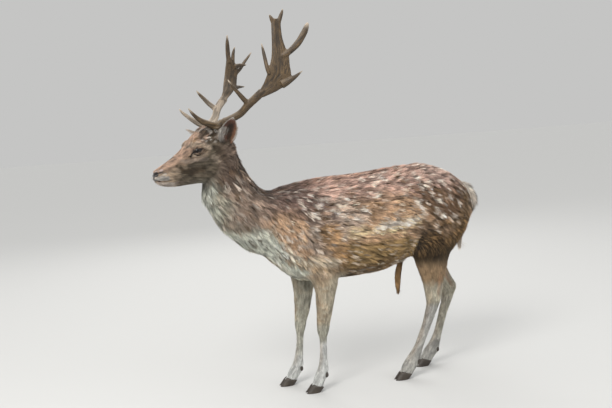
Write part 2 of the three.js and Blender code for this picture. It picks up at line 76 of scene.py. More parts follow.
NECK = [
    [-40, 872, -120, 570, 0, 108, 0.5, 1.8, 2],
    [-150, 881, -262, 625, -1, 104, 0.5, 1.8, 2],
    [-188, 892, -325, 677, -4, 94, 0.5, 1.8, 2],
    [-215, 915, -378, 730, -9, 86, 0.5, 1.8, 2],
    [-240, 952, -408, 780, -15, 79, 0.5, 1.9, 2],
    [-262, 995, -436, 833, -21, 74, 0.5, 2, 2],
    [-280, 1040, -451, 868, -27, 71, 0.5, 2, 2],
    [-299, 1092, -446, 908, -32, 69, 0.52, 2, 2],
    [-325, 1126, -432, 946, -35, 58, 0.54, 2, 2],
]
NECK_YAW = [0, 2, 5, 8, 11, 14, 16, 18, 18]  # degrees, one for each neck station

# Head stations in the head's own frame, from the nose back.
HEAD = [
    [-307, -8, -304, -30, 0, 13, 0.5, 2, 2],
    [-300, 3, -298, -46, 0, 24, 0.55, 2.2, 2.2],
    [-282, 13, -277, -61, 0, 31, 0.5, 2.3, 2.2],
    [-248, 32, -237, -69, 0, 32, 0.48, 2.2, 2.1],
    [-210, 55, -193, -70, 0, 37, 0.52, 2.2, 1.9],
    [-180, 77, -154, -68, 0, 45, 0.58, 2.3, 1.8],
    [-150, 103, -116, -67, 0, 53, 0.64, 2.4, 1.8],
    [-116, 138, -74, -69, 0, 60, 0.62, 2.3, 2.1],
    [-74, 158, -32, -68, 0, 62, 0.58, 2.2, 2.3],
    [-28, 158, 10, -60, 0, 62, 0.55, 2.1, 2.3],
    [16, 140, 46, -42, 0, 56, 0.55, 2, 2],
    [46, 104, 60, -6, 0, 38, 0.5, 2, 2],
]

# Legs from the shoulder or hip down: each station's distance from the middle plane and its half
# width, alike on both sides, and then the stations themselves as [back x, z, front x, z].
LEG_WIDTHS = {
    "front": [
        [82, 26], [89, 45], [90, 47], [88, 44], [84, 37], [82, 32], [80, 28], [78, 24], [77, 23],
        [76, 22], [75, 15.5], [75, 13.5], [75, 15], [75, 18], [75, 22], [75, 25], [75, 23],
    ],
    "hind": [
        [64, 34], [76, 56], [83, 61], [86, 60], [87, 56], [86, 49], [86, 42], [83, 34], [80, 27],
        [78, 23], [77, 22], [76, 19], [75, 15.5], [75, 14.5], [75, 15.5], [75, 18.5], [75, 22],
        [75, 25], [75, 23],
    ],
}
LEG_EDGES = {
    "front_left": [
        [60, 790, -90, 775], [88, 700, -138, 672], [106, 610, -124, 578], [108, 540, -66, 524],
        [100, 487, -24, 480], [88, 440, -9, 440], [76, 392, -7, 392], [62, 334, -7, 334],
        [52, 298, -9, 298], [44, 262, -9, 262], [33, 230, -2, 230], [31, 178, -3, 180],
        [30, 130, -8, 136], [31, 92, -17, 102], [19, 58, -31, 72], [6, 36, -42, 46],
        [2, 22, -47, 30],
    ],
    "front_right": [
        [50, 790, -100, 775], [76, 700, -148, 672], [86, 610, -140, 578], [74, 540, -96, 524],
        [50, 487, -74, 480], [31, 432, -66, 432], [18, 385, -65, 385], [2, 322, -67, 322],
        [-12, 287, -70, 287], [-21, 254, -70, 254], [-32, 220, -67, 220], [-38, 168, -72, 171],
        [-42, 120, -81, 128], [-43, 84, -93, 96], [-57, 52, -110, 66], [-71, 33, -122, 42],
        [-76, 20, -128, 28],
    ],
    "hind_left": [
        [680, 825, 530, 840], [734, 752, 480, 770], [718, 690, 452, 694], [688, 635, 437, 622],
        [652, 590, 434, 566], [622, 548, 446, 520], [602, 502, 463, 474], [587, 452, 479, 424],
        [576, 402, 489, 374], [569, 364, 494, 337], [562, 334, 493, 312], [543, 287, 486, 286],
        [518, 233, 475, 247], [492, 179, 453, 195], [468, 128, 429, 144], [457, 90, 404, 110],
        [440, 54, 376, 76], [421, 34, 362, 50], [414, 20, 356, 32],
    ],
    "hind_right": [
        [680, 825, 530, 840], [736, 752, 490, 770], [728, 690, 472, 694], [708, 635, 470, 620],
        [674, 590, 480, 562], [654, 546, 502, 514], [648, 500, 532, 470], [665, 450, 568, 420],
        [685, 405, 604, 376], [706, 364, 630, 337], [700, 334, 631, 310], [680, 287, 627, 284],
        [656, 235, 615, 247], [637, 180, 598, 192], [620, 128, 579, 140], [611, 90, 558, 106],
        [594, 54, 532, 74], [574, 34, 517, 48], [567, 20, 511, 30],
    ],
}
LEGS = {name: np.column_stack([edges, LEG_WIDTHS[name.split("_")[0]]])
        for name, edges in LEG_EDGES.items()}
# The x of each foot's toe.
HOOF_TIPS = {"front_left": -76, "front_right": -158, "hind_left": 328, "hind_right": 483}
# Dewclaws stand behind the fetlocks, at x, z.
DEWCLAWS = {
    "front_left": [27, 71],
    "front_right": [-48, 69],
    "hind_left": [449, 70],
    "hind_right": [602, 70],
    "radii": [9, 7, 12],
    "apart": 26,
}
NECK_CUT = {"at": [-217, 0, 762], "towards": [-0.867, 0, 0.498]}  # where the neck leaves the trunk
# Where the head leaves the neck, in the head's frame.
HEAD_CUT = {"at": [-16, 0, 4], "towards": [-0.772, 0, 0.635]}
# Shapes added to the skull on each side: the brow and the antler's stalk.
BROW = {"at": [-120, 44, 90], "radii": [35, 20, 24]}
STALK = [[-26, 34, 112, 22], [-36, 41, 151, 18]]


def round_stations(rows):
    """Body stations from [back x, z, front x, z, half width], on the middle plane and round."""
    return [[*row[:4], 0, row[4], 0.5, 2, 2] for row in rows]


TAIL = round_stations([
    [700, 858, 694, 815, 24], [746, 836, 724, 796, 26], [777, 796, 741, 776, 27],
    [786, 756, 746, 750, 27], [770, 710, 732, 710, 26], [742, 660, 708, 668, 24],
    [722, 612, 696, 622, 18], [708, 566, 694, 572, 8],
])
SHEATH = round_stations([
    [440, 545, 396, 545, 18], [427, 510, 396, 506, 16], [415, 460, 386, 460, 13],
    [408, 415, 383, 415, 10], [401, 378, 389, 378, 5],
])

# Antlers in the head's frame, both set out as if on the right: the left one is mirrored. Beam and
# tines are [x, y, z, radius].
ANTLERS = {
    "left": {
        "beam": [
            [-37, 40, 146, 17], [-30, 43, 160, 17], [-8, 55, 174, 16.5], [22, 80, 188, 16],
            [52, 105, 208, 16], [70, 130, 234, 17], [94, 156, 261, 17], [116, 178, 286, 17],
        ],
        "brow_tine": [
            [-30, 43, 162, 14], [-58, 47, 168, 14.5], [-90, 53, 179, 13], [-112, 58, 190, 11],
            [-130, 62, 203, 9], [-149, 66, 221, 6.5], [-164, 70, 240, 3],
        ],
        "trez_tine": [
            [76, 136, 238, 12], [58, 134, 256, 11.5], [42, 135, 273, 10.5], [20, 135, 298, 8.5],
            [3, 130, 322, 6.5], [-8, 125, 343, 2.5],
        ],
        # Palm stations: front edge x, y, z, rear edge x, y, z, half thickness.
        "palm": [
            [100, 158, 272, 118, 178, 262, 14], [110, 178, 300, 144, 202, 274, 13],
            [121, 196, 330, 186, 230, 298, 11], [130, 212, 366, 214, 248, 334, 9.5],
            [137, 218, 392, 213, 248, 378, 8.5], [144, 220, 418, 212, 246, 424, 8.5],
            [149, 220, 448, 203, 238, 456, 9], [153, 218, 490, 199, 228, 492, 9],
            [157, 214, 532, 198, 224, 532, 8.5], [160, 211, 570, 200, 222, 570, 8],
        ],
        "points": {
            "rear_spur": [
                [176, 232, 306, 17], [206, 247, 322, 13],
                [232, 262, 340, 8], [254, 274, 358, 2.5],
            ],
            "rear_finger": [
                [184, 236, 418, 12], [212, 246, 434, 13], [240, 250, 456, 14], [264, 254, 482, 14.5],
                [286, 255, 512, 14], [299, 255, 536, 10.5], [305, 255, 550, 5],
            ],
            "front_tine": [
                [134, 214, 352, 9], [128, 210, 376, 9], [128, 200, 410, 8.5], [127, 190, 446, 7],
                [127, 180, 478, 2.5],
            ],
            "top_front": [[168, 212, 556, 9], [162, 210, 574, 8], [158, 205, 588, 3]],
            "top_rear": [
                [191, 220, 556, 10], [199, 223, 578, 8.5],
                [206, 224, 594, 6.5], [211, 225, 608, 3],
            ],
        },
    },
    "right": {
        "beam": [
            [-37, 40, 146, 17], [-27, 41, 160, 17], [-1, 50, 182, 16.5], [22, 70, 202, 16],
            [38, 88, 221, 16], [57, 108, 241, 17], [80, 124, 259, 17], [104, 138, 277, 17],
        ],
        "brow_tine": [
            [-30, 43, 160, 13], [-52, 45, 167, 12.5], [-72, 48, 178, 11.5], [-92, 51, 192, 10],
            [-113, 55, 209, 8.5], [-132, 59, 226, 6.5], [-144, 62, 243, 3],
        ],
        "trez_tine": [
            [46, 98, 228, 12.5], [34, 104, 241, 12], [14, 108, 259, 10.5], [-10, 106, 282, 8.5],
            [-29, 103, 300, 6.5], [-43, 99, 316, 2.5],
        ],
        "palm": [
            [86, 126, 268, 110, 140, 264, 14], [92, 140, 282, 134, 156, 282, 13],
            [106, 151, 305, 168, 174, 306, 12], [124, 171, 343, 203, 203, 337, 10],
            [142, 189, 384, 217, 216, 374, 8.5], [150, 193, 412, 226, 218, 404, 8.5],
            [156, 194, 436, 208, 206, 430, 9], [160, 194, 454, 198, 200, 450, 9],
        ],
        "points": {
            "rear_spur": [
                [186, 194, 322, 12], [214, 210, 328, 9],
                [238, 222, 329, 6], [262, 232, 330, 2.5],
            ],
            "rear_point": [
                [196, 200, 416, 11], [222, 205, 423, 10],
                [244, 206, 424, 8], [264, 207, 425, 3],
            ],
            "rear_finger": [
                [208, 214, 388, 10], [242, 226, 412, 9], [268, 236, 438, 8], [294, 244, 462, 6.5],
                [318, 250, 485, 3],
            ],
            "top_front": [
                [172, 196, 434, 12], [168, 193, 478, 10.5], [166, 188, 515, 9], [165, 184, 538, 6],
                [165, 182, 556, 3],
            ],
            "top_rear": [
                [192, 202, 428, 10], [198, 203, 468, 8.5],
                [204, 204, 488, 6.5], [210, 204, 506, 3],
            ],
        },
    },
}

# Ear in its own frame: z runs from root to tip and the hollow faces +x. [z, half width, depth, thickness].
EAR_SECTIONS = [
    [0, 18, 28, 23], [18, 27, 32, 15], [38, 34, 31, 8], [62, 37, 27, 6],
    [88, 34, 20, 5.5], [112, 25, 12, 5],
    [130, 13, 5.5, 4.5], [138, 4, 3, 3],
]
EARS = {
    "left": {"root": [-12, -58, 88], "tip": [1, -128, 190], "hollow": [-0.2, -0.97, 0]},
    "right": {"root": [-6, 58, 94], "tip": [-84, 140, 158], "hollow": [-0.5, 0.4, -0.77]},
}


# ---- shape helpers ----
def smooth(x, a, b):
    """0 at a, 1 at b, eased between."""
    t = np.clip((x - a) / (b - a), 0, 1)
    return t * t * (3 - 2 * t)


def unit(v):
    return v / np.maximum(np.linalg.norm(v, axis=-1, keepdims=True), 1e-9)


def dot(a, b):
    return np.sum(a * b, axis=-1)


def rounded(value, roundness):
    return np.sign(value) * np.abs(value) ** (2 / roundness)


def from_head(p):
    """Points of the head's frame in the deer's frame."""
    c, s = np.cos(HEAD_TURN), np.sin(HEAD_TURN)
    return np.asarray(p, float) @ np.array([[c, s, 0], [-s, c, 0], [0, 0, 1]]) + HEAD_AT


def into_head(p):
    c, s = np.cos(HEAD_TURN), np.sin(HEAD_TURN)
    return (p - HEAD_AT) @ np.array([[c, -s, 0], [s, c, 0], [0, 0, 1]])


def turn_from_head(v):
    return from_head(v) - HEAD_AT


def halved(h):
    """Points moved to the positive side of the middle plane, for what is alike on both sides."""
    return np.column_stack([h[:, 0], np.abs(h[:, 1]), h[:, 2]])


def refine(rows, steps):
    """Catmull-Rom interpolation of every column of a table."""
    rows = np.asarray(rows, float)
    last = len(rows) - 1
    t = np.arange(last * steps + 1) / steps
    i = np.minimum(t.astype(int), last - 1)
    t = (t - i)[:, None]
    a, b, d, e = rows[np.maximum(i - 1, 0)], rows[i], rows[i + 1], rows[np.minimum(i + 2, last)]
    return b + 0.5 * t * (d - a + t * (2 * a - 5 * b + 4 * d - e + t * (3 * (b - d) + e - a)))


def loft(rings):
    """Points and triangles of a closed shell through rings of equal count, facing out."""
    count, around = rings.shape[:2]
    points = np.vstack([rings.reshape(-1, 3), rings[0].mean(0), rings[-1].mean(0)])
    i = np.arange(around)
    j = (i + 1) % around
    r = (np.arange(count - 1) * around)[:, None]
    first, last, end = count * around, count * around + 1, (count - 1) * around
    tris = np.vstack([
        np.stack([r + i, r + j, r + j + around], -1).reshape(-1, 3),
        np.stack([r + i, r + j + around, r + i + around], -1).reshape(-1, 3),
        np.stack([np.full(around, first), j, i], -1),
        np.stack([np.full(around, last), end + i, end + j], -1),
    ])
    a, b, c = points[tris].transpose(1, 0, 2)
    if dot(a, np.cross(b, c)).sum() < 0:
        tris = tris[:, ::-1]
    return points, tris


def joined(shells):
    """Several closed shells as one set of points and triangles."""
    points, tris, start = [], [], 0
    for p, t in shells:
        points.append(p)
        tris.append(t + start)
        start += len(p)
    return np.vstack(points), np.vstack(tris)


def section(back, front, side, half, around, widest=0.5, upper=2, lower=2):
    """Rings spanning back and front points, with `side` their sideways unit vectors."""
    rise = back - front
    height = np.linalg.norm(rise, axis=-1, keepdims=True)
    rise = rise / height
    angle = 2 * np.pi * np.arange(around)[None, :, None] / around
    c, s = np.cos(angle), np.sin(angle)
    round_by = np.where(s > 0, upper, lower)
    reach = height * np.where(s > 0, 1 - widest, widest)
    centre = front + rise * height * widest
    return centre + side * half * rounded(c, round_by) + rise * reach * rounded(s, round_by)


def body_loft(rows, around, steps, yaws=None):
    """A trunk, neck, head or tail through its stations, each turned by its yaw."""
    yaws = np.zeros(len(rows)) if yaws is None else yaws
    table = refine(np.column_stack([rows, yaws]), steps)
    ax, az, bx, bz, y, half, widest, upper, lower, yaw = table.T[:, :, None, None]
    c, s = np.cos(np.radians(yaw)), np.sin(np.radians(yaw))
    middle = (ax + bx) / 2

    def at(x, z):
        return np.concatenate([middle + (x - middle) * c, y + (x - middle) * s, z], -1)

    side = np.concatenate([-s, c, 0 * s], -1)
    return loft(section(at(ax, az), at(bx, bz), side, half, around, widest, upper, lower))


def leg_loft(rows, side, around, steps):
    """A leg through its stations, on the side given as -1 or 1."""
    ax, az, bx, bz, out, half = refine(rows, steps).T[:, :, None, None]
    back = np.concatenate([ax, side * out, az], -1)
    front = np.concatenate([bx, side * out, bz], -1)
    return loft(section(back, front, np.array([0.0, 1, 0]), half, around, 0.5, 2.1, 2.1))


def horn(path, around, steps):
    """A round tapering horn along a path of [x, y, z, radius]."""
    path = refine(path, steps)
    centres, radii = path[:, :3], path[:, 3]
    along = unit(np.gradient(centres, axis=0))
    rings, side = [], np.array([0.0, 1, 0])
    angle = 2 * np.pi * np.arange(around)[:, None] / around
    for centre, radius, way in zip(centres, radii, along):
        side = unit(side - way * (side @ way))
        other = np.cross(way, side)
        rings.append(centre + radius * (side * np.cos(angle) + other * np.sin(angle)))
    return loft(np.array(rings))


def blade(rows, around, steps):
    """The flat palm of an antler, between its front and rear edges."""
    rows = refine(rows, steps)
    front, rear, half = rows[:, None, :3], rows[:, None, 3:6], rows[:, None, 6:]
    along = unit(np.gradient((front + rear)[:, 0] / 2, axis=0))[:, None]
    side = unit(np.cross(along, front - rear))
    return loft(section(front, rear, side, half, around, 0.5, 2.4, 2.4))


def ellipsoid(at, radii, around, side=1):
    tilt = np.pi * ((np.arange(around // 2) + 0.5) / (around // 2) - 0.5)[:, None]
    angle = 2 * np.pi * np.arange(around) / around
    ball = np.stack([np.cos(tilt) * np.cos(angle), np.cos(tilt) * np.sin(angle),
                     np.sin(tilt) + 0 * angle], -1)
    return loft(ball * radii + np.array([at[0], side * at[1], at[2]]))


def ear_axes(spec):
    """An ear's root and tip, and its axes along, out of the hollow and across."""
    root, tip = np.array(spec["root"], float), np.array(spec["tip"], float)
    along = unit(tip - root)
    opening = np.array(spec["hollow"], float)
    opening = unit(opening - along * (opening @ along))
    return root, tip, along, opening, np.cross(along, opening)


def ear_loft(spec, thinnest):
    """A cup with a crescent section, closing to a stalk at its root."""
    root, tip, along, opening, across = ear_axes(spec)
    scale = np.linalg.norm(tip - root) / EAR_SECTIONS[-1][0]
    arc = np.linspace(-np.pi / 2, np.pi / 2, 25)[:, None]
    rings = []
    for z, width, depth, thick in refine(EAR_SECTIONS, 5):
        foot = root + along * z * scale
        thick = max(thick, thinnest)

        def wall(wide, deep, lift):
            return (foot + across * wide * np.sin(arc)
                    + opening * (depth / 2 + lift - deep * np.cos(arc)))

        rings.append(np.vstack([wall(width, depth, 0),
                                wall(max(width - 0.35 * thick, 1), depth - thick, 0.6)[::-1]]))
    return loft(np.array(rings))


def noise(p, size, seed=0):
    """Smooth value noise from 0 to 1."""
    q = np.asarray(p) / size + seed * 7.31
    cell = np.floor(q).astype(np.int64)
    f = q - cell
    f = f * f * (3 - 2 * f)
    out = 0
    for dx in (0, 1):
        for dy in (0, 1):
            for dz in (0, 1):
                weight = (np.where(dx, f[:, 0], 1 - f[:, 0]) * np.where(dy, f[:, 1], 1 - f[:, 1])
                          * np.where(dz, f[:, 2], 1 - f[:, 2]))
                out = out + weight * chance(cell + [dx, dy, dz], seed)
    return out


def chance(cell, seed):
    """A number from 0 to 1 that depends only on an integer cell."""
    h = (cell[..., 0] * 73856093) ^ (cell[..., 1] * 19349663) ^ (cell[..., 2] * 83492791)
    h = (h ^ (seed * 2654435)) & 0xFFFFFFFF
    h = ((h ^ (h >> 16)) * 0x45D9F3B) & 0xFFFFFFFF
    h = ((h ^ (h >> 16)) * 0x45D9F3B) & 0xFFFFFFFF
    return ((h ^ (h >> 16)) & 0xFFFFFF) / 0xFFFFFF


def clumps(p, size, seed):
    """The nearest of the points scattered one to a cell, and a few chances that go with it."""
    base = np.floor(p / size).astype(np.int64)
    best, centre, key = np.full(len(p), 1e9), np.zeros_like(p), np.zeros_like(base)
    for dx in (-1, 0, 1):
        for dy in (-1, 0, 1):
            for dz in (-1, 0, 1):
                cell = base + [dx, dy, dz]
                spot = (cell + np.stack([chance(cell, seed + k) for k in range(3)], -1)) * size
                far = dot(spot - p, spot - p)
                near = far < best
                best = np.where(near, far, best)
                centre = np.where(near[:, None], spot, centre)
                key = np.where(near[:, None], cell, key)
    return centre, [chance(key, seed + 10 + k) for k in range(4)]


def to_line(p, line):
    """Distance to a polyline, and how far along it the nearest point is, from 0 to 1."""
    line = np.asarray(line, float)
    lengths = np.linalg.norm(np.diff(line, axis=0), axis=1)
    starts = np.concatenate([[0], np.cumsum(lengths)])
    best, share = np.full(len(p), 1e9), np.zeros(len(p))
    for a, b, length, start in zip(line[:-1], line[1:], lengths, starts):
        t = np.clip((p - a) @ (b - a) / length**2, 0, 1)
        far = np.linalg.norm(p - a - t[:, None] * (b - a), axis=1)
        near = far < best
        best = np.where(near, far, best)
        share = np.where(near, (start + t * length) / starts[-1], share)
    return best, share


# ---- mesh helpers ----
# What carries the deer's frame, in metres, onto the solids: the left eye's place in both.
eye_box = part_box("eye_left")
eye_at = from_head(np.array([EYE_AT[0], -EYE_AT[1], EYE_AT[2]], float))
SHIFT = (np.array(eye_box[0]) + np.array(eye_box[1])) / 2 - eye_at / 1000
SHIFT[2] = 0


def new_mesh(name, points, faces):
    """A mesh from arrays of points and of faces with the same number of corners."""
    mesh = bpy.data.meshes.new(name)
    count, corners = faces.shape
    mesh.vertices.add(len(points))
    mesh.vertices.foreach_set("co", np.ascontiguousarray(points, np.float32).ravel())
    mesh.loops.add(count * corners)
    mesh.loops.foreach_set("vertex_index", np.ascontiguousarray(faces, np.int32).ravel())
    mesh.polygons.add(count)
    mesh.polygons.foreach_set("loop_start", np.arange(count, dtype=np.int32) * corners)
    mesh.polygons.foreach_set("loop_total", np.full(count, corners, np.int32))
    mesh.update(calc_edges=True)
    mesh.polygons.foreach_set("use_smooth", np.ones(count, bool))
    return mesh


def link(name, data):
    """A mesh, light or camera placed in the scene as an object."""
    obj = bpy.data.objects.new(name, data)
    bpy.context.scene.collection.objects.link(obj)
    return obj


def evaluated(obj):
    """The mesh of an object with its modifiers applied, and the object removed."""
    mesh = bpy.data.meshes.new_from_object(obj.evaluated_get(bpy.context.evaluated_depsgraph_get()))
    bpy.data.objects.remove(obj)
    return mesh


def remeshed(shells, voxel):
    """Overlapping shells fused into one skin by voxels of the given size."""
    obj = link("shell", new_mesh("shell", *joined(shells)))
    modifier = obj.modifiers.new("voxels", "REMESH")
    modifier.mode = "VOXEL"
    modifier.voxel_size = voxel
    return evaluated(obj)


def read(items, key, kind, width):
    """One value of every vertex, edge or triangle, as rows of the given width."""
    out = np.empty(len(items) * width, kind)
    items.foreach_get(key, out)
    return out.reshape(-1, width)


def points_of(mesh):
    return read(mesh.vertices, "co", np.float32, 3).astype(float)


def set_points(mesh, points):
    mesh.vertices.foreach_set("co", np.ascontiguousarray(points, np.float32).ravel())
    mesh.update()


def normals_of(mesh):
    mesh.update()
    return read(mesh.vertex_normals, "vector", np.float32, 3).astype(float)


def edges_of(mesh):
    return read(mesh.edges, "vertices", np.int32, 2)


def tris_of(mesh):
    mesh.calc_loop_triangles()
    return read(mesh.loop_triangles, "vertices", np.int32, 3)


def relaxed(values, edges, weight, rounds):
    """Values at points, evened out with their neighbours'."""
    values = values.copy()
    flat = values.ndim == 1
    values = values[:, None] if flat else values
    n = len(values)
    a, b = edges.T
    count = np.maximum(np.bincount(a, minlength=n) + np.bincount(b, minlength=n), 1)
    for _ in range(rounds):
        mean = np.stack([np.bincount(a, values[b, k], n) + np.bincount(b, values[a, k], n)
                         for k in range(values.shape[1])], -1) / count[:, None]
        values += np.reshape(weight, (-1, 1)) * (mean - values)
    return values[:, 0] if flat else values


def paint(mesh, name, values):
    """A point attribute: a colour from 3 columns or a number from 1."""
    if values.ndim == 1:
        mesh.attributes.new(name, "FLOAT", "POINT").data.foreach_set(
            "value", values.astype(np.float32))
    else:
        rgba = np.column_stack([values, np.ones(len(values))]).astype(np.float32)
        mesh.attributes.new(name, "FLOAT_COLOR", "POINT").data.foreach_set("color", rgba.ravel())


def piece(name, mesh, material, nodes):
    """A finished piece: moved into the row's frame, in metres, standing for CAD nodes."""
    set_points(mesh, points_of(mesh) / 1000 + SHIFT)
    mesh.materials.clear()
    mesh.materials.append(material)
    obj = link(name, mesh)
    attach(obj, "root")
    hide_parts(*nodes)
    return obj


# ---- the lie of the coat ----
def side_of(name):
    return -1 if name.endswith("left") else 1  # the deer's left is towards -Y


def middle_line(rows):
    rows = np.array(rows, float)
    return np.column_stack([(rows[:, 0] + rows[:, 2]) / 2, rows[:, 4],
                            (rows[:, 1] + rows[:, 3]) / 2])


def leg_line(name):
    line = middle_line(LEGS[name])
    line[:, 1] *= side_of(name)
    return line


def shares(line):
    far = np.concatenate([[0], np.cumsum(np.linalg.norm(np.diff(line, axis=0), axis=1))])
    return far / far[-1]


def along_line(line, share):
    """The direction of a polyline at shares of its length."""
    at = shares(line)
    way = unit(np.gradient(line, axis=0))
    return unit(np.stack([np.interp(share, at, way[:, k]) for k in range(3)], -1))


def parts(p):
    """How far each point belongs to each part of the body, from 0 to 1, and where it is on it."""
    h = into_head(p)
    x, _, z = p.T
    out = {"head_at": h}
    neck = (p - NECK_CUT["at"]) @ unit(np.array(NECK_CUT["towards"], float))
    head = (h - HEAD_CUT["at"]) @ unit(np.array(HEAD_CUT["towards"], float))
    out["neck"] = smooth(neck, -70, 60)
    out["head"] = smooth(head, -14, 22)
    out["leg"] = np.zeros(len(p))
    out["leg_way"] = np.tile([0.0, 0, -1], (len(p), 1))
    out["leg_local"] = np.zeros((len(p), 2))
    out["hind"] = (x > HIND_FROM).astype(float)
    for name, rows in LEGS.items():
        line = leg_line(name)
        rows = np.array(rows, float)
        far, share = to_line(p, line)
        radius = np.hypot(rows[:, 0] - rows[:, 2], rows[:, 1] - rows[:, 3]) / 2
        r = np.interp(share, shares(line), radius)
        top = 600 if name.startswith("front") else 640
        mask = smooth(far / r, 1.5, 1.12) * smooth(z, top, top - 110)
        best = mask > out["leg"]
        out["leg"] = np.maximum(out["leg"], mask)
        out["leg_way"][best] = along_line(line, share[best])
        centre = np.stack([np.interp(share, shares(line), line[:, k]) for k in range(3)], -1)
        local = (p - centre) / r[:, None]
        out["leg_local"][best] = np.stack([-local[:, 0], side_of(name) * local[:, 1]], -1)[best]
    for name, rows, wide in (("tail", TAIL, 34), ("sheath", SHEATH, 26)):
        line = middle_line(rows)
        far, share = to_line(p, line)
        out[name] = smooth(far, wide + 8, wide - 4) * smooth(share, 0.02, 0.16)
        out[name + "_share"] = share
        out[name + "_way"] = along_line(line, share)
    out["ear"] = np.zeros(len(p))
    out["ear_share"] = np.zeros(len(p))
    out["ear_way"] = np.tile([1.0, 0, 0], (len(p), 1))
    out["ear_local"] = np.zeros((len(p), 2))
    out["ear_inside"] = np.zeros(len(p))
    sections = np.array(EAR_SECTIONS, float)
    for spec in EARS.values():
        root, tip, along, opening, across = ear_axes(spec)
        v = h - root
        length = np.linalg.norm(tip - root)
        share = v @ along / length
        off = np.stack([v @ across, v @ opening], -1)
        mask = smooth(share, 0.02, 0.14) * (np.linalg.norm(off, axis=1) < 46) * (share < 1.1)
        best = mask > 0
        out["ear"] = np.maximum(out["ear"], mask)
        out["ear_share"][best] = share[best]
        out["ear_way"][best] = along
        out["ear_local"][best] = off[best]
        wide, deep, thick = [np.interp(share * sections[-1, 0], sections[:, 0], sections[:, k])
                             for k in (1, 2, 3)]
        bow = np.sqrt(np.clip(1 - (off[:, 0] / wide) ** 2, 0, 1))
        out["ear_inside"][best] = (off[:, 1] - deep / 2 + (deep - thick / 2) * bow)[best]
    out["ear_way"] = turn_from_head(out["ear_way"])
    return out


def blend(values, other, mask):
    return values + (other - values) * (mask[:, None] if np.ndim(values) > 1 else mask)


def lie(p, part):
    """Which way the hair points, the coat's depth and the length of its hair."""
    x, _, z = p.T
    h = part["head_at"]
    one = np.ones(len(p))

    def way(*v):
        return unit(np.tile(np.array(v, float), (len(p), 1)))

    rear, fore = smooth(x, 400, 600), smooth(x, 90, -90)
    top, low = smooth(z, 830, 900), smooth(z, 570, 510)
    flow = blend(way(1, 0, -0.27), way(1, 0, -0.05), np.maximum(top, low))
    flow = blend(flow, way(0.7, 0, -0.7), rear * (1 - 0.8 * top) * (1 - low))
    flow = blend(flow, way(0.62, 0, -0.78), fore * (1 - 0.5 * top))
    flow = blend(flow, way(0.3, 0, -1), smooth(x, 640, 710))
    flow = blend(flow, way(0.62, 0, -0.8), part["neck"])
    flow = blend(flow, way(0.42, 0, -0.9), part["neck"] * smooth(z, 850, 960))
    depth = blend(12.5 * one, 9.5 * one, rear)
    depth = blend(depth, 8 * one, low)
    depth = blend(depth, 13 * one, part["neck"])
    length = blend(34 * one, 28 * one, rear)
    length = blend(length, 40 * one, part["neck"])
    # legs: short, and shorter still below the wrist and hock
    upper = smooth(z, 260, 560)
    flow = blend(flow, part["leg_way"], part["leg"])
    depth = blend(depth, 2.6 + 5.5 * upper, part["leg"])
    length = blend(length, 9 + 15 * upper, part["leg"])
    # the hair hangs over the tops of the hooves, and in a tuft around the dewclaws
    hem = part["leg"] * smooth(z, 64, 46)
    depth, length = blend(depth, 3.6 * one, hem), blend(length, 12 * one, hem)
    tuft = part["leg"] * smooth(np.abs(z - 84), 26, 12)
    tuft = tuft * smooth(part["leg_local"][:, 0], -0.3, -0.8)
    depth, length = blend(depth, 5 * one, tuft), blend(length, 18 * one, tuft)
    # head: from the nose back, shortest on the muzzle
    hx, hy, hz = h.T
    back = smooth(hx, -250, -60)
    face = blend(turn_from_head(way(1, 0, 0.4)), turn_from_head(way(0.92, 0, -0.35)),
                 smooth(hz, 40, -10))
    face = blend(face, turn_from_head(way(1, 0, -0.75)), smooth(hx, -110, -20) * smooth(hz, 60, 0))
    flow = blend(flow, face, part["head"])
    depth = blend(depth, 1.6 + 4.2 * back, part["head"])
    length = blend(length, 3.6 + 8 * back, part["head"])
    crown = part["head"] * smooth(hx, -122, -96) * smooth(hz, 112, 132) * smooth(hx, 20, -10)
    length = blend(length, 19 * one, crown)
    flow = blend(flow, part["ear_way"], part["ear"])
    depth = blend(depth, 1.3 * one, part["ear"])
    front = part["ear_local"][:, 0] * np.sign(hy)
    long_edge = smooth(front, 6, 18) * smooth(part["ear_share"], 0.6, 0.4)
    length = blend(length, 6.5 + 15 * smooth(part["ear_inside"], 0, 3) * long_edge, part["ear"])
    for name, deep, long in (("tail", 8, 46), ("sheath", 2.4, 22)):
        thin = smooth(part[name + "_share"], 1.02, 0.75)
        flow = blend(flow, part[name + "_way"], part[name])
        depth = blend(depth, deep * (0.35 + 0.65 * thin), part[name])
        length = blend(length, long * one, part[name])
    return unit(flow), depth, length


# ---- the skin ----
def body_shells():
    shells = [body_loft(TRUNK, 72, 6), body_loft(NECK, 64, 6, NECK_YAW),
              body_loft(TAIL, 32, 5), body_loft(SHEATH, 24, 5)]
    shells += [leg_loft(rows, side_of(name), 40, 5) for name, rows in LEGS.items()]
    skull = [body_loft(HEAD, 72, 6)]
    for name, side in (("left", -1), ("right", 1)):
        skull.append(ellipsoid(BROW["at"], BROW["radii"], 36, side))
        stalk = np.array(STALK, float) * [1, side, 1, 1]
        skull.append(horn(stalk, 24, 6))
        skull.append(ear_loft(EARS[name], 6.5))
    return shells + [(from_head(p), t) for p, t in skull]


def split_finer(mesh, inside):
    """The edges whose two ends are inside are halved, so that their faces become four."""
    bm = bmesh.new()
    bm.from_mesh(mesh)
    edges = [e for e in bm.edges if inside[e.verts[0].index] and inside[e.verts[1].index]]
    bmesh.ops.subdivide_edges(bm, edges=edges, cuts=1, use_grid_fill=True)
    bm.to_mesh(mesh)
    bm.free()


MOUTH_LINE = [(-309, 0, -34), (-306, 8, -37), (-298, 18, -39.5), (-282, 28, -42), (-262, 31, -43),
              (-240, 31.5, -44.5), (-226, 31.5, -47)]
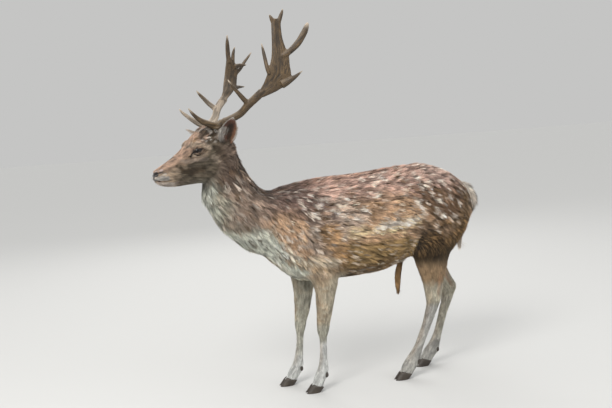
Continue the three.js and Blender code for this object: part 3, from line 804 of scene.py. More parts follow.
# Folds and swellings of the head, in its own frame and alike on both sides:
# points, radius, height.
HEAD_STROKES = [
    ([(-156, 50, 80), (-130, 58, 94), (-104, 60, 88)], 9, 2.5),
    ([(-154, 53, 54), (-172, 47, 42), (-190, 41, 30)], 4.5, -4.5),
    ([(-156, 54, 62), (-174, 46, 52), (-190, 40, 42)], 5, 1.5),
    ([(-100, 60, 38), (-130, 57, 30), (-165, 47, 18), (-195, 38, 8)], 9, 2.8),
    ([(-62, 60, -8), (-90, 60, -20), (-112, 56, -34)], 26, 4),
    ([(-14, 58, 20), (-26, 56, -20), (-50, 48, -58)], 10, -3.5),
    ([(-200, 36, 18), (-228, 31, 6), (-255, 29, -6)], 12, -3),
    ([(-86, 54, 108), (-66, 56, 100)], 14, -3),
    ([(-306, 12, -13), (-301, 19, -8), (-292, 25, -4)], 4.6, -9),
    ([(-292, 25, -4), (-281, 28, -3), (-270, 30, -3)], 2.8, -4),
    ([(-310, 8, -2), (-303, 16, 4), (-292, 24, 5), (-278, 28, 5)], 4.5, 2.6),
    ([(-304, 20, -17), (-295, 26, -13), (-281, 30, -11)], 4.5, 2.4),
    ([(-310, 0, 0), (-311, 0, -16), (-307, 0, -32)], 2.2, -2),
    (MOUTH_LINE, 2.6, -4.4),
    ([(-304, 9, -30), (-296, 19, -31), (-280, 29, -33), (-258, 32, -35), (-236, 32, -38)], 5, 1.8),
    ([(-302, 8, -46), (-294, 18, -48), (-278, 27, -50), (-256, 30, -51)], 4.5, 1.4),
]
# The same for the body and legs, seen from the side: points as x and z, radius, height.
SIDE_STROKES = [
    ([(-80, 850), (-64, 740), (-108, 650)], 30, 5),
    ([(-2, 840), (26, 720), (52, 620)], 26, -5),
    ([(98, 606), (104, 590)], 24, 5),
    ([(-30, 700), (20, 650), (70, 610)], 26, 4),
    ([(398, 840), (416, 760), (420, 700)], 34, -6),
    ([(486, 880), (500, 866)], 30, 4),
    ([(690, 770), (650, 680), (606, 590), (596, 520)], 16, -4),
    ([(560, 760), (540, 680), (500, 610)], 44, 5),
    ([(432, 640), (420, 590), (440, 540)], 14, 3),
    ([(540, 300), (512, 240), (482, 180), (452, 130)], 4, -2.4),
    ([(664, 300), (642, 240), (622, 180), (604, 130)], 4, -2.4),
    ([(19, 226), (18, 180), (18, 130)], 3.6, -2.2),
    ([(-46, 218), (-50, 170), (-56, 124)], 3.6, -2.2),
    ([(572, 366), (560, 338)], 9, 2.5),
    ([(706, 366), (696, 338)], 9, 2.5),
]


def eye_view(h, side):
    """Distance from an eye's centre, and how far out of its almond opening: 1 is the rim."""
    v = h - np.array([EYE_AT[0], side * EYE_AT[1], EYE_AT[2]])
    out = unit(np.array([-0.3, side * 0.94, 0.14]))
    slit = np.array([-0.93, -side * 0.24, -0.27])
    slit = unit(slit - out * (slit @ out))
    up = np.cross(slit, out) * side
    up = up if up[2] > 0 else -up
    alpha = np.degrees(np.arctan2(v @ slit, v @ out))
    beta = np.degrees(np.arctan2(v @ up, v @ out))
    lid = np.where(beta > 0, 21, 19)
    opening = np.abs(beta) / lid + (alpha / 78) ** 2
    return np.linalg.norm(v, axis=1), np.where(v @ out > -4, opening, 99), alpha, beta


def stroke(h, line, radius, height):
    far = to_line(h, line)[0]
    return height * np.exp(-((far / radius) ** 2))


def head_relief(h, n):
    """The head's points with its strokes, then its eyelids."""
    rise = sum(stroke(halved(h), line, radius, height) for line, radius, height in HEAD_STROKES)
    h = h + n * rise[:, None]
    for side in (-1, 1):
        r, opening, _, _ = eye_view(h, side)
        near = (opening < 2.6) & (r < 40)
        rim = 17 + 5 * smooth(opening, 0.93, 1.06)
        lid = np.maximum(r, 21.3)
        target = np.where(opening < 1.12, rim, blend(np.full(len(h), 22.0), lid,
                                                     smooth(opening, 1.12, 1.9)))
        centre = np.array([EYE_AT[0], side * EYE_AT[1], EYE_AT[2]])
        fade = smooth(opening, 2.6, 2.0)
        moved = centre + (h - centre) * (target / r)[:, None]
        h = np.where(near[:, None], blend(h, moved, fade), h)
    return h


SKIN_VOXEL = 3.5


def make_skin():
    """One skin under the coat: fused, eased, finer on the face, then sunk and modelled."""
    mesh = remeshed(body_shells(), SKIN_VOXEL)
    p = points_of(mesh)
    part = parts(p)
    edges = edges_of(mesh)
    ease = 0.9 * smooth(p[:, 2], 440, 560)
    ease = np.maximum(ease, 0.12)
    ease = blend(ease, np.full(len(p), 0.16), part["head"])
    ease = ease * (1 - 0.9 * np.maximum(np.maximum(part["tail"], part["ear"]), part["sheath"]))
    ease = relaxed(ease, edges, 0.5, 6)
    p = relaxed(p, edges, ease, 36)
    set_points(mesh, p)
    for muzzle, around_eye in ((-215, 36), (-284, 29)):
        h = halved(into_head(points_of(mesh)))
        split_finer(mesh, (h[:, 0] < muzzle) | (np.linalg.norm(h - EYE_AT, axis=1) < around_eye))
    p = points_of(mesh)
    p = relaxed(p, edges_of(mesh), 0.3 * (p[:, 0] < -330), 3)
    set_points(mesh, p)

    part = parts(p)
    _, depth, _ = lie(p, part)
    edges = edges_of(mesh)
    depth = relaxed(depth, edges, 0.5, 12)
    n = normals_of(mesh)
    p = p - n * depth[:, None]
    # muscles and tendons
    flat = p * [1, 0, 1]
    face = np.abs(n[:, 1]) ** 1.5 * (1 - part["neck"]) * (1 - part["tail"])
    for line, radius, height in SIDE_STROKES:
        line = [(x, 0, z) for x, z in line]
        p = p + n * (stroke(flat, line, radius, height) * face)[:, None]
    set_points(mesh, relaxed(p, edges, 0.35 * (1 - part["head"]), 4))
    # the face
    n = normals_of(mesh)
    p = points_of(mesh)
    face = p[:, 0] < -300
    h, turned = into_head(p[face]), into_head(n[face] + HEAD_AT)
    p[face] = blend(p[face], from_head(head_relief(h, turned)), parts(p[face])["head"])
    set_points(mesh, p)
    return mesh


# ---- markings ----
def linear(*rgb):
    c = np.array(rgb, float) / 255
    return np.where(c > 0.04045, ((c + 0.055) / 1.055) ** 2.4, c / 12.92)


TAN = linear(170, 140, 112)
GREY_BROWN = linear(96, 77, 70)
BACK_BROWN = linear(180, 150, 138)
HAUNCH = linear(92, 69, 50)
CROUP_SHEEN = linear(172, 148, 136)
RUST = linear(150, 108, 80)
FAWN = linear(150, 136, 124)
SHOULDER = linear(186, 168, 154)
LOW_FLANK = linear(150, 124, 84)
BAND = linear(206, 184, 148)
UMBER = linear(104, 80, 52)
THIGH = linear(35, 25, 11)
OLIVE = linear(70, 54, 31)
OCHRE = linear(158, 124, 84)
WHITE = linear(224, 212, 198)
CREAM = linear(182, 172, 152)
LEG_WHITE = linear(212, 213, 210)
LEG_TAN = linear(150, 124, 94)
LEG_GREEN = linear(176, 174, 160)
HOCK_GREY = linear(186, 184, 178)
HOCK_PALE = linear(188, 182, 164)
GASKIN = linear(146, 122, 92)
NECK_GREY = linear(134, 116, 102)
NAPE = linear(84, 68, 58)
THROAT = linear(142, 140, 126)
PALE_THROAT = linear(188, 190, 178)
CHEEK = linear(98, 88, 74)
BRIDGE = linear(182, 154, 134)
MUZZLE = linear(158, 140, 120)
LIP = linear(204, 198, 190)
EAR_BACK = linear(184, 168, 152)
EAR_INSIDE = linear(108, 74, 60)
BLACK = linear(30, 25, 22)
FACE = linear(146, 124, 104)
DARK_FACE = linear(66, 54, 40)
PALE_BROW = linear(172, 156, 138)
CHIN = linear(186, 174, 164)
PINK_JAW = linear(170, 152, 140)
GREY_LIP = linear(160, 158, 154)
PALE_NOSE = linear(196, 182, 178)
MOUTH = linear(58, 34, 28)

# Pale flecks and dark openings in the coat, as x, z, length, width.
FLECKS = [
    (433, 783, 30, 16), (456, 747, 24, 15), (462, 837, 24, 13), (521, 754, 22, 14),
    (552, 729, 20, 16), (448, 876, 26, 10), (537, 791, 18, 9), (504, 824, 16, 9),
    (609, 715, 22, 10), (377, 818, 18, 10), (251, 817, 16, 9), (195, 771, 22, 12),
    (132, 819, 18, 8), (106, 758, 14, 8), (64, 775, 30, 11), (33, 828, 26, 10),
    (-14, 770, 32, 14), (6, 806, 26, 10), (-62, 816, 18, 9), (-80, 700, 22, 9),
    (-130, 690, 18, 10), (-20, 712, 16, 9), (300, 880, 22, 9), (211, 879, 20, 8),
    (330, 742, 16, 8), (592, 800, 18, 9), (640, 770, 16, 9), (560, 860, 22, 9), (40, 700, 18, 8),
]
SHADOWS = [
    (150, 838, 20, 8), (262, 790, 34, 9), (352, 792, 40, 8), (372, 878, 44, 9), (330, 866, 26, 6),
    (108, 724, 16, 6), (398, 836, 24, 7), (226, 742, 16, 5), (60, 640, 20, 7), (-50, 736, 20, 6),
    (470, 700, 18, 6), (540, 828, 20, 6), (-170, 800, 18, 6),
]
PALE_LINE = [(236, 0, 694), (300, 0, 702), (368, 0, 706), (432, 0, 716)]


# Marks of the body, seen from the side: colour, strength, line as x and z, distance to the edge.
BODY_MARKS = [
    (FAWN, 0.8, [(-20, 690), (70, 690)], 90),
    (SHOULDER, 0.7, [(40, 800), (130, 780), (170, 740)], 54),
    (GREY_BROWN, 0.9, [(-190, 850), (-110, 850), (-40, 830), (6, 790)], 84),
    (HAUNCH, 0.85, [(470, 800), (560, 760), (640, 780)], 84),
    (OLIVE, 0.8, [(640, 640), (676, 720), (692, 800)], 42),
    (BAND, 0.85, [(140, 676), (230, 686), (330, 696), (416, 704)], 36),
    (OCHRE, 0.75, [(30, 700), (60, 650), (96, 600)], 40),
    (CREAM, 0.8, [(-130, 590), (-60, 572), (30, 556)], 46),
]
CHEST_MARKS = [
    (THROAT, 0.85, [(-440, 900), (-430, 820), (-378, 752), (-320, 704), (-230, 670)], 96),
    (PALE_THROAT, 0.9, [(-436, 950), (-450, 908), (-456, 850), (-420, 790), (-360, 730)], 42),
    (PALE_THROAT, 0.95, [(-330, 700), (-250, 680), (-177, 640), (-130, 590), (-100, 540)], 72),
    (LEG_TAN, 0.7, [(-128, 608), (-75, 580), (-12, 556), (52, 540)], 16),
    # painted shade under the edge of the chest
    (OLIVE, 0.3, [(-250, 622), (-226, 606), (-186, 580)], 14),
]


# Marks of the face: colour, strength, line along the middle, distance to the edge.
FACE_MARKS = [
    (FAWN, 0.75, [(-220, 34, 48), (-202, 38, 38), (-184, 42, 26)], 13),
    (DARK_FACE, 0.85, [(-216, 34, 16), (-203, 38, 2), (-187, 42, -12)], 12),
    (DARK_FACE, 0.8, [(-191, 44, -8), (-157, 50, -11), (-116, 58, -4)], 18),
    (FAWN, 0.65, [(-180, 46, 28), (-144, 55, 32), (-100, 60, 32)], 11),
    (PALE_BROW, 0.6, [(-74, 60, 36), (-54, 60, 22)], 13),
    (DARK_FACE, 0.65, [(-59, 60, 72), (-30, 58, 46), (-17, 56, 18)], 17),
    (PINK_JAW, 0.7, [(-222, 28, -54), (-189, 30, -53), (-149, 34, -52), (-118, 38, -49)], 9),
    (PALE_BROW, 0.8, [(-163, 50, 84), (-141, 54, 95), (-113, 60, 88), (-87, 60, 72)], 14),
    (OCHRE, 0.7, [(-186, 28, 79), (-155, 34, 97), (-125, 40, 113)], 5.5),
    (DARK_FACE, 0.9, [(-196, 26, 69), (-182, 30, 75), (-168, 34, 80)], 6),
    (DARK_FACE, 0.85, [(-72, 42, 160), (-40, 44, 150), (-66, 52, 118)], 15),
    (LIP, 0.85, [(-106, 38, 158), (-96, 42, 144), (-74, 48, 128)], 5),
    (LIP, 0.7, [(-60, 50, 142), (-36, 52, 128)], 4),
    (PALE_BROW, 0.85, [(-156, 52, 50), (-128, 60, 43), (-100, 62, 51)], 8),
    (CHIN, 0.8, [(-148, 56, 50), (-132, 62, 48), (-110, 64, 55)], 5),
    (BLACK, 0.95, [(-144, 56, 64), (-153, 53, 58), (-163, 48, 44)], 5.5),
    (BLACK, 0.95, [(-114, 63, 67), (-98, 63, 70)], 5),
    # the upper lid's dark rim, with painted shadow cast by the thick lid
    (BLACK, 0.85, [(-150, 56, 67), (-136, 62, 77), (-112, 64, 74)], 4.5),
    (GREY_LIP, 0.85, [(-300, 15, -29), (-281, 28, -28), (-256, 31, -30)], 11),
    (WHITE, 0.9, [(-303, 12, -25), (-292, 22, -19), (-264, 29, -12)], 5),
    (PALE_NOSE, 0.85, [(-308, 4, 1), (-304, 12, 2), (-294, 21, 5), (-280, 26, 6)], 8),
    (LIP, 0.7, [(-290, 26, -36), (-262, 31, -39), (-236, 32, -41)], 4),
]


def spots(p, table, seed):
    """How far each point is in one of the flecks, which lie along the coat, alike on both sides."""
    out = np.zeros(len(p))
    ragged = 0.75 + 0.9 * noise(p, 7, seed)
    for i, (x, z, length, width) in enumerate(table):
        shift = 24 * (chance(np.array([i, 1, seed]), 5) - 0.5) * (p[:, 1] > 0)
        dx, dz = p[:, 0] - x - shift, p[:, 2] - z - shift
        tilt = np.radians(-26 - 20 * (x > 430))
        u = (dx * np.cos(tilt) + dz * np.sin(tilt)) / length
        v = (-dx * np.sin(tilt) + dz * np.cos(tilt)) / width
        out = np.maximum(out, smooth(np.hypot(u, v) * ragged, 1.05, 0.7))
    return out * smooth(np.abs(p[:, 1]), 24, 60)


def marked(c, flat, table, ragged, share):
    for colour, strength, line, edge in table:
        far = to_line(flat, [(x, 0, z) for x, z in line])[0]
        c = blend(c, colour, strength * smooth(far + edge * ragged, edge, 0.3 * edge) * share)
    return c


def trunk_colour(p, broad, mottle, fleck):
    """The trunk and thighs: brown back, tan flank with its pale line, spots and rump patch."""
    x, y, z = p.T
    wide = np.abs(y)
    high = z + 46 * broad + 22 * mottle
    flat = p * [1, 0, 1]
    c = np.tile(TAN, (len(p), 1))
    speckled = smooth(np.hypot((x + 50) / 130, (z - 690) / 110), 1.1, 0.5)
    c = blend(c, WHITE, 0.75 * speckled * smooth(noise(p * [0.6, 1, 1], 11, 51), 0.6, 0.78))
    c = blend(c, UMBER, 0.8 * speckled * smooth(noise(p * [0.6, 1, 1], 11, 53), 0.66, 0.8))
    c = blend(c, BACK_BROWN, 0.85 * smooth(high, 780, 850))
    # a paler, greyer tone on top of the croup: painted sheen of the sky on the hair
    c = blend(c, CROUP_SHEEN, 0.8 * smooth(np.hypot(x - 560, (z - 925) * 1.6), 170, 60))
    c = blend(c, RUST, 0.4 * smooth(wide, 46, 16) * smooth(z, 850, 880))
    c = blend(c, LOW_FLANK, smooth(high, 668, 630) * smooth(x, 40, 120))
    c = marked(c, flat, BODY_MARKS, 0.9 * broad + 0.5 * mottle, 1)
    # painted shade: darker along the lower edge of the belly, where it turns under
    c = blend(c, UMBER, 0.8 * smooth(high - 0.05 * x, 546, 510) * smooth(x, 20, 90))
    thigh = smooth(x + 12 * mottle, 428, 446) * smooth(z + 26 * mottle + 16 * fleck, 446, 496)
    thigh = thigh * smooth(high + 20 * fleck, 728, 640) * smooth(wide, 52, 84)
    c = blend(c, blend(np.tile(THIGH, (len(p), 1)), OLIVE, smooth(x + 30 * mottle, 540, 640)),
              0.95 * thigh)
    line = to_line(flat, PALE_LINE)[0] * (0.6 + noise(p * [0.4, 1, 1], 12, 21))
    c = blend(c, WHITE, smooth(line, 15, 9) * smooth(wide, 40, 80)
              * smooth(noise(p * [0.3, 1, 1], 22, 24), 0.15, 0.36))
    c = blend(c, WHITE, 0.85 * spots(p, FLECKS, 31))
    c = blend(c, UMBER, 0.8 * spots(p, SHADOWS, 33))
    # rump patch, edged in black
    rump = np.hypot(wide / 66, (z - 740) / 130) + 0.2 * mottle - smooth(x, 660, 720) * 0.2
    c = blend(c, BLACK, 0.9 * smooth(rump, 1.42, 1.2) * smooth(x, 660, 690))
    c = blend(c, WHITE, smooth(rump, 1.08, 0.96) * smooth(x, 660, 690))
    # inside of the thighs and the middle of the belly
    return blend(c, CREAM, 0.8 * smooth(wide, 58, 26) * smooth(z, 560, 500))


NAPE_LINE = [(-290, 0, 1120), (-262, 0, 1000), (-222, 0, 925), (-150, 0, 880)]


def neck_colour(p, broad, mottle):
    """Grey sides, and a dark nape with a rusty middle."""
    high = p[:, 2] + 46 * broad + 22 * mottle
    neck = blend(np.tile(NECK_GREY, (len(p), 1)), NAPE, smooth(high, 880, 1010))
    nape = to_line(p * [1, 0, 1], NAPE_LINE)[0]
    neck = blend(neck, NAPE, 0.85 * smooth(nape + 30 * mottle, 74, 30))
    middle = smooth(nape + 16 * mottle, 20, 8) * smooth(np.abs(p[:, 1]), 60, 20)
    return blend(neck, RUST, 0.6 * middle)


def ear_colour(p, part, mottle, fleck):
    """Grey-brown behind, rusty and dark within, with pale rims."""
    across, share, inside = part["ear_local"][:, 0], part["ear_share"], part["ear_inside"]
    ear = blend(np.tile(EAR_BACK, (len(p), 1)), EAR_INSIDE, smooth(inside, -1, 1.5))
    front = across * np.sign(part["head_at"][:, 1])
    within = smooth(inside, 0, 3)
    core = smooth(np.hypot(front + 4, 66 * (share - 0.52)) + 10 * mottle, 24, 9)
    core = np.maximum(core, smooth(np.hypot(front + 14, 40 * (share - 0.2)) + 8 * mottle, 13, 6))
    ear = blend(ear, DARK_FACE * 0.6, 0.9 * within * core)
    streak = noise(np.stack([front, 22 * share, 0 * share], -1), 3.5, 87)
    ear = blend(ear, RUST, 0.7 * within * smooth(front, -16, -26))
    ear = blend(ear, LIP * 0.85, 0.9 * within * smooth(front + 26 * (streak - 0.5), 2, 16)
                * smooth(share, 0.66, 0.5))
    reach = np.interp(share, [0, 0.13, 0.28, 0.45, 0.64, 0.81, 0.94, 1],
                      [18, 27, 34, 37, 34, 25, 13, 4])
    rim = smooth(reach - np.abs(across) + 3 * fleck, 7.5, 4) * smooth(share, 0.12, 0.3)
    return blend(ear, LIP, 0.9 * np.maximum(rim, smooth(share, 0.9, 0.97)))


def leg_colour(p, part, mottle):
    """White feet, tan down the front, and cream or greenish above the wrist and hock."""
    z, hind = p[:, 2], part["hind"]
    fore, out = part["leg_local"].T
    joint = 232 + 90 * hind
    upper = smooth(z + 12 * mottle, joint - 14, joint + 14)
    c = blend(np.tile(LEG_WHITE, (len(p), 1)), HOCK_GREY, hind)
    gaskin = smooth(z + 30 * mottle, 404, 446)
    pale = blend(np.tile(CREAM, (len(p), 1)), HOCK_PALE, hind)
    c = blend(c, blend(pale, GASKIN, 0.9 * hind * gaskin), upper)
    tan = smooth(fore + 0.5 * mottle, 0.1, 0.7) * 0.35
    bands = (1 - hind) * smooth(z, 290, 320) * smooth(noise(p * [0.3, 0.3, 1], 9, 71), 0.4, 0.7)
    tan = np.maximum(tan, 0.6 * bands * smooth(fore + 0.6 * mottle, -0.5, 0.3))
    tan = np.maximum(tan, 0.7 * hind * smooth(z, 420, 470))
    c = blend(c, LEG_TAN, tan * smooth(z, 60, 130))
    knee = smooth(np.abs(z - 256), 52, 26) * (1 - hind)
    c = blend(c, LEG_GREEN, 0.85 * knee)
    inner = smooth(out + 0.6 * mottle, 0.1, -0.5) * smooth(z, 100, 180)
    c = blend(c, LEG_GREEN, 0.8 * inner * (1 - hind))
    c = blend(c, HOCK_PALE, 0.8 * inner * hind * smooth(z, 500, 440))
    hollow = hind * smooth(np.abs(z - 412), 66, 30) * smooth(np.abs(fore + 0.34), 0.3, 0.14)
    c = blend(c, RUST, 0.7 * hollow * smooth(np.abs(out), 0.2, 0.6))
    c = blend(c, WHITE, 0.7 * hind * smooth(fore, -0.74, -0.9) * smooth(z, 300, 340))
    return blend(c, UMBER, 0.4 * smooth(z + 14 * mottle, 30, 16))


NOSE_LINE = [(-307, 0, -14), (-304, 9, -14), (-299, 18, -12)]


def wet_mask(h, fleck=0):
    """The bare black skin of the nose and the rims of the eyes."""
    h = halved(h)
    nose = smooth(to_line(h, NOSE_LINE)[0] + 2 * fleck, 11, 9)
    lip = to_line(h, [(-308, 0, -14), (-306, 0, -33)])[0]
    nose = np.maximum(nose, smooth(lip + 2 * fleck, 11, 8.5))
    slit, share = to_line(h * [1, 0.4, 1], [(-300, 8, -9), (-286, 11, -6), (-268, 12, -2)])
    nose = np.maximum(nose, smooth(slit / (5 - 3.2 * share), 1.1, 0.8))
    r, opening, _, _ = eye_view(h, 1)
    rim = smooth(opening + 0.1 * fleck, 1.42, 1.24) * (r < 25)
    return np.maximum(nose, rim)


def head_colour(p, part, mottle, fleck):
    """The face: dark cheeks, paler muzzle and bridge, ringed eyes, white lips and pale chin."""
    h = halved(part["head_at"])
    x, _, z = h.T
    c = np.tile(CHEEK, (len(p), 1))
    c = blend(c, MUZZLE, smooth(x + 20 * mottle, -190, -235))
    c = blend(c, FACE, smooth(z - 0.3 * (x + 180) + 16 * mottle, 8, 34) * smooth(x, -80, -120))
    c = blend(c, NECK_GREY, smooth(x, -70, -20) * smooth(z, 110, 60))
    top = smooth(z - np.interp(x, [-300, -210, -116, -28, 46], [-12, 22, 92, 122, 90])
                 + 14 * mottle, -12, 14)
    c = blend(c, BRIDGE, 0.95 * top)
    crown = smooth(x + 24 * mottle, -122, -96) * smooth(x, 30, 0) * smooth(z, 84, 104)
    c = blend(c, DARK_FACE * 0.8, 0.9 * crown * smooth(noise(h * [0.5, 1, 1], 9, 81), 0.3, 0.5))
    c = blend(c, LIP, 0.7 * crown * smooth(noise(h * [0.4, 1, 1], 8, 83), 0.62, 0.74))
    c = blend(c, THROAT, 0.5 * smooth(z, -30, -62) * smooth(x, -200, -80))
    for colour, share, line, edge in FACE_MARKS:
        depth = [1, 0.3 if line[0][0] > -215 else 1, 1]
        far = to_line(h * depth, np.array(line) * depth)[0] + 0.5 * edge * mottle + 5 * fleck
        c = blend(c, colour, share * smooth(far, edge, 0.45 * edge))
    below = z - np.interp(x, [-309, -298, -282, -262, -226], [-34, -39.5, -42, -43, -47])
    chin = smooth(below, -1, -4) * smooth(x + 10 * mottle, -206, -236)
    c = blend(c, CHIN, 0.9 * chin)
    c = c * (1 + 1.1 * (noise(h * [0.3, 1, 1], 6, 85) - 0.5))[:, None]
    mouth = to_line(h, MOUTH_LINE)[0]
    c = blend(c, MOUTH, smooth(mouth + 1.5 * fleck, 5, 3.2) * smooth(x, -236, -250))
    c = blend(c, BLACK, wet_mask(h, fleck))
    return c


def coat_colour(p, part):
    """The colour of skin and coat alike, from where a point is on the deer."""
    z = p[:, 2]
    broad, mottle, fleck = noise(p, 70, 3) - 0.5, noise(p, 24, 5) - 0.5, noise(p, 9, 8) - 0.5
    c = trunk_colour(p, broad, mottle, fleck)
    c = blend(c, neck_colour(p, broad, mottle), part["neck"])
    c = marked(c, p * [1, 0, 1], CHEST_MARKS, 0.9 * broad + 0.5 * mottle, 1 - part["head"])
    c = blend(c, leg_colour(p, part, mottle), part["leg"] * smooth(z, 560, 490))
    c = blend(c, head_colour(p, part, mottle, fleck), part["head"])
    c = blend(c, ear_colour(p, part, mottle, fleck), part["ear"])
    # tail: black above, white fringe
    fringe = smooth(np.abs(p[:, 1]) + 10 * mottle, 13, 19)
    tail = blend(np.tile(BLACK * 1.6, (len(p), 1)), WHITE, fringe)
    tail = blend(tail, WHITE, smooth(part["tail_share"] + 0.3 * mottle, 0.72, 0.86))
    c = blend(c, tail, part["tail"])
    brush = blend(np.tile(OCHRE, (len(p), 1)), UMBER, smooth(p[:, 0] + 4 * mottle, 404, 412))
    brush = blend(brush, UMBER, smooth(part["sheath_share"], 0.7, 1))
    c = blend(c, brush, part["sheath"])
    return c * (1 + 0.3 * mottle + 0.3 * fleck)[:, None]


# ---- looks ----
def look(name, **values):
    material = bpy.data.materials.new(name)
    material.use_nodes = True
    tree = material.node_tree
    surface = tree.nodes["Principled BSDF"]
    for key, value in values.items():
        surface.inputs[key.replace("_", " ")].default_value = value
    return material, tree, surface


def add(tree, kind, inputs=None, **settings):
    """A shader node whose inputs are each given a constant, or a socket that feeds it."""
    node = tree.nodes.new(kind)
    for key, value in settings.items():
        setattr(node, key, value)
    for key, value in (inputs or {}).items():
        if isinstance(value, bpy.types.NodeSocket):
            tree.links.new(value, node.inputs[key])
        else:
            node.inputs[key].default_value = value
    return node


def mixed(tree, factor, a, b, how="MIX"):
    """Two colours mixed by a factor: inputs 0, 6 and 7 of the node, with the result at output 2."""
    inputs = {0: factor, 6: a, 7: b}
    return add(tree, "ShaderNodeMix", inputs, data_type="RGBA", blend_type=how).outputs[2]


def attribute(tree, name, output="Fac"):
    return add(tree, "ShaderNodeAttribute", attribute_name=name).outputs[output]


def scaled(tree, factor, low, high):
    return add(tree, "ShaderNodeMapRange", {"Value": factor, "To Min": low, "To Max": high}).outputs[0]


def texture(tree, where, scale, detail=3, stretch=(1, 1, 1)):
    moved = add(tree, "ShaderNodeMapping", {"Vector": where, "Scale": stretch}).outputs[0]
    return add(tree, "ShaderNodeTexNoise",
               {"Vector": moved, "Scale": scale, "Detail": detail}).outputs[0]


def place(tree):
    """The coordinates of the piece itself, which textures are laid out in."""
    return add(tree, "ShaderNodeTexCoord").outputs["Object"]


def bumped(tree, surface, height, strength, distance):
    bump = add(tree, "ShaderNodeBump",
               {"Height": height, "Strength": strength, "Distance": distance})
    tree.links.new(bump.outputs[0], surface.inputs["Normal"])


def rgba(c, alpha=1):
    return (*[float(v) for v in c], alpha)


def skin_look():
    """Short fur: the markings, combed by fine streaks along the lie of the coat."""
    material, tree, surface = look("deer_skin", Roughness=0.85)
    surface.inputs["Sheen Weight"].default_value = 0.15
    fibre = attribute(tree, "fibre", "Vector")
    streak = texture(tree, fibre, 1, 4)
    patchy = texture(tree, fibre, 0.25, 2)
    colour = mixed(tree, 1, attribute(tree, "coat", "Color"),
                   mixed(tree, streak, (0.62, 0.6, 0.58, 1), (1.32, 1.3, 1.28, 1)), "MULTIPLY")
    colour = mixed(tree, 1, colour,
                   mixed(tree, patchy, (0.85, 0.84, 0.82, 1), (1.15, 1.16, 1.18, 1)), "MULTIPLY")
    wet = attribute(tree, "wet")
    pebble = add(tree, "ShaderNodeTexVoronoi",
                 {"Vector": place(tree), "Scale": 620})
    colour = mixed(tree, wet, colour, rgba(linear(34, 28, 25)))
    tree.links.new(colour, surface.inputs["Base Color"])
    tree.links.new(scaled(tree, wet, 0.85, 0.34), surface.inputs["Roughness"])
    relief = add(tree, "ShaderNodeMix", {0: wet, 2: streak, 3: pebble.outputs[0]}).outputs[0]
    bumped(tree, surface, relief, 0.7, 0.0011)
    return material


def coat_look():
    """Hair: each strand has its own colour, with a little sheen."""
    material, tree, surface = look("deer_coat", Roughness=0.7)
    surface.inputs["Specular IOR Level"].default_value = 0.25
    surface.inputs["Sheen Weight"].default_value = 0.2
    where = place(tree)
    grain = texture(tree, where, 500, 2)
    colour = mixed(tree, 1, attribute(tree, "coat", "Color"),
                   mixed(tree, grain, (0.86, 0.86, 0.86, 1), (1.14, 1.14, 1.14, 1)), "MULTIPLY")
    tree.links.new(colour, surface.inputs["Base Color"])
    return material


def antler_look():
    material, tree, surface = look("antler_bone", Roughness=0.55)
    where = place(tree)
    grain = texture(tree, attribute(tree, "fibre", "Vector"), 2.2, 4)
    grain = add(tree, "ShaderNodeMix", {0: attribute(tree, "seam"), 2: grain, 3: 0.5}).outputs[0]
    cloud = texture(tree, where, 26, 3)
    colour = mixed(tree, scaled(tree, grain, -0.7, 1.7), rgba(linear(36, 26, 15)),
                   rgba(linear(116, 93, 62)))
    colour = mixed(tree, scaled(tree, cloud, -0.6, 1.2), colour, rgba(linear(50, 38, 23)))
    # paler where "pale" says: the pale tips, and the painted highlight on top
    pale = mixed(tree, grain, rgba(linear(176, 158, 138)), rgba(linear(222, 208, 190)))
    colour = mixed(tree, attribute(tree, "pale"), colour, pale)
    # darker where "deep" says: in the gutters, and as painted shade on the underside
    deep = scaled(tree, attribute(tree, "deep"), 1, 0.5)
    colour = mixed(tree, 1, colour, deep, "MULTIPLY")
    tree.links.new(colour, surface.inputs["Base Color"])
    bumped(tree, surface, grain, 0.8, 0.0016)
    return material


def hoof_look():
    material, tree, surface = look("hoof_horn", Roughness=0.5)
    where = place(tree)
    rings = texture(tree, where, 60, 3, (0.4, 0.4, 7))
    dust = texture(tree, where, 45, 4)
    colour = mixed(tree, rings, rgba(linear(30, 26, 23)), rgba(linear(74, 65, 56)))
    colour = mixed(tree, scaled(tree, dust, -0.6, 0.7), colour, rgba(linear(90, 80, 68)))
    tree.links.new(colour, surface.inputs["Base Color"])
    bumped(tree, surface, rings, 0.6, 0.001)
    return material


def eye_look():
    material, tree, surface = look("eye_wet", Roughness=0.08)
    surface.inputs["Coat Weight"].default_value = 0.25
    surface.inputs["Coat Roughness"].default_value = 0.03
    surface.inputs["Specular IOR Level"].default_value = 0.18
    where = place(tree)
    spokes = texture(tree, where, 900, 3)
    iris = mixed(tree, spokes, rgba(linear(14, 9, 6)), rgba(linear(38, 24, 15)))
    colour = mixed(tree, attribute(tree, "iris"), rgba(linear(14, 10, 8)), iris)
    colour = mixed(tree, attribute(tree, "pupil"), colour, rgba(linear(6, 7, 9)))
    tree.links.new(colour, surface.inputs["Base Color"])
    return material


# ---- antlers, hooves and eyes ----
ANTLER_VOXEL = 2.4


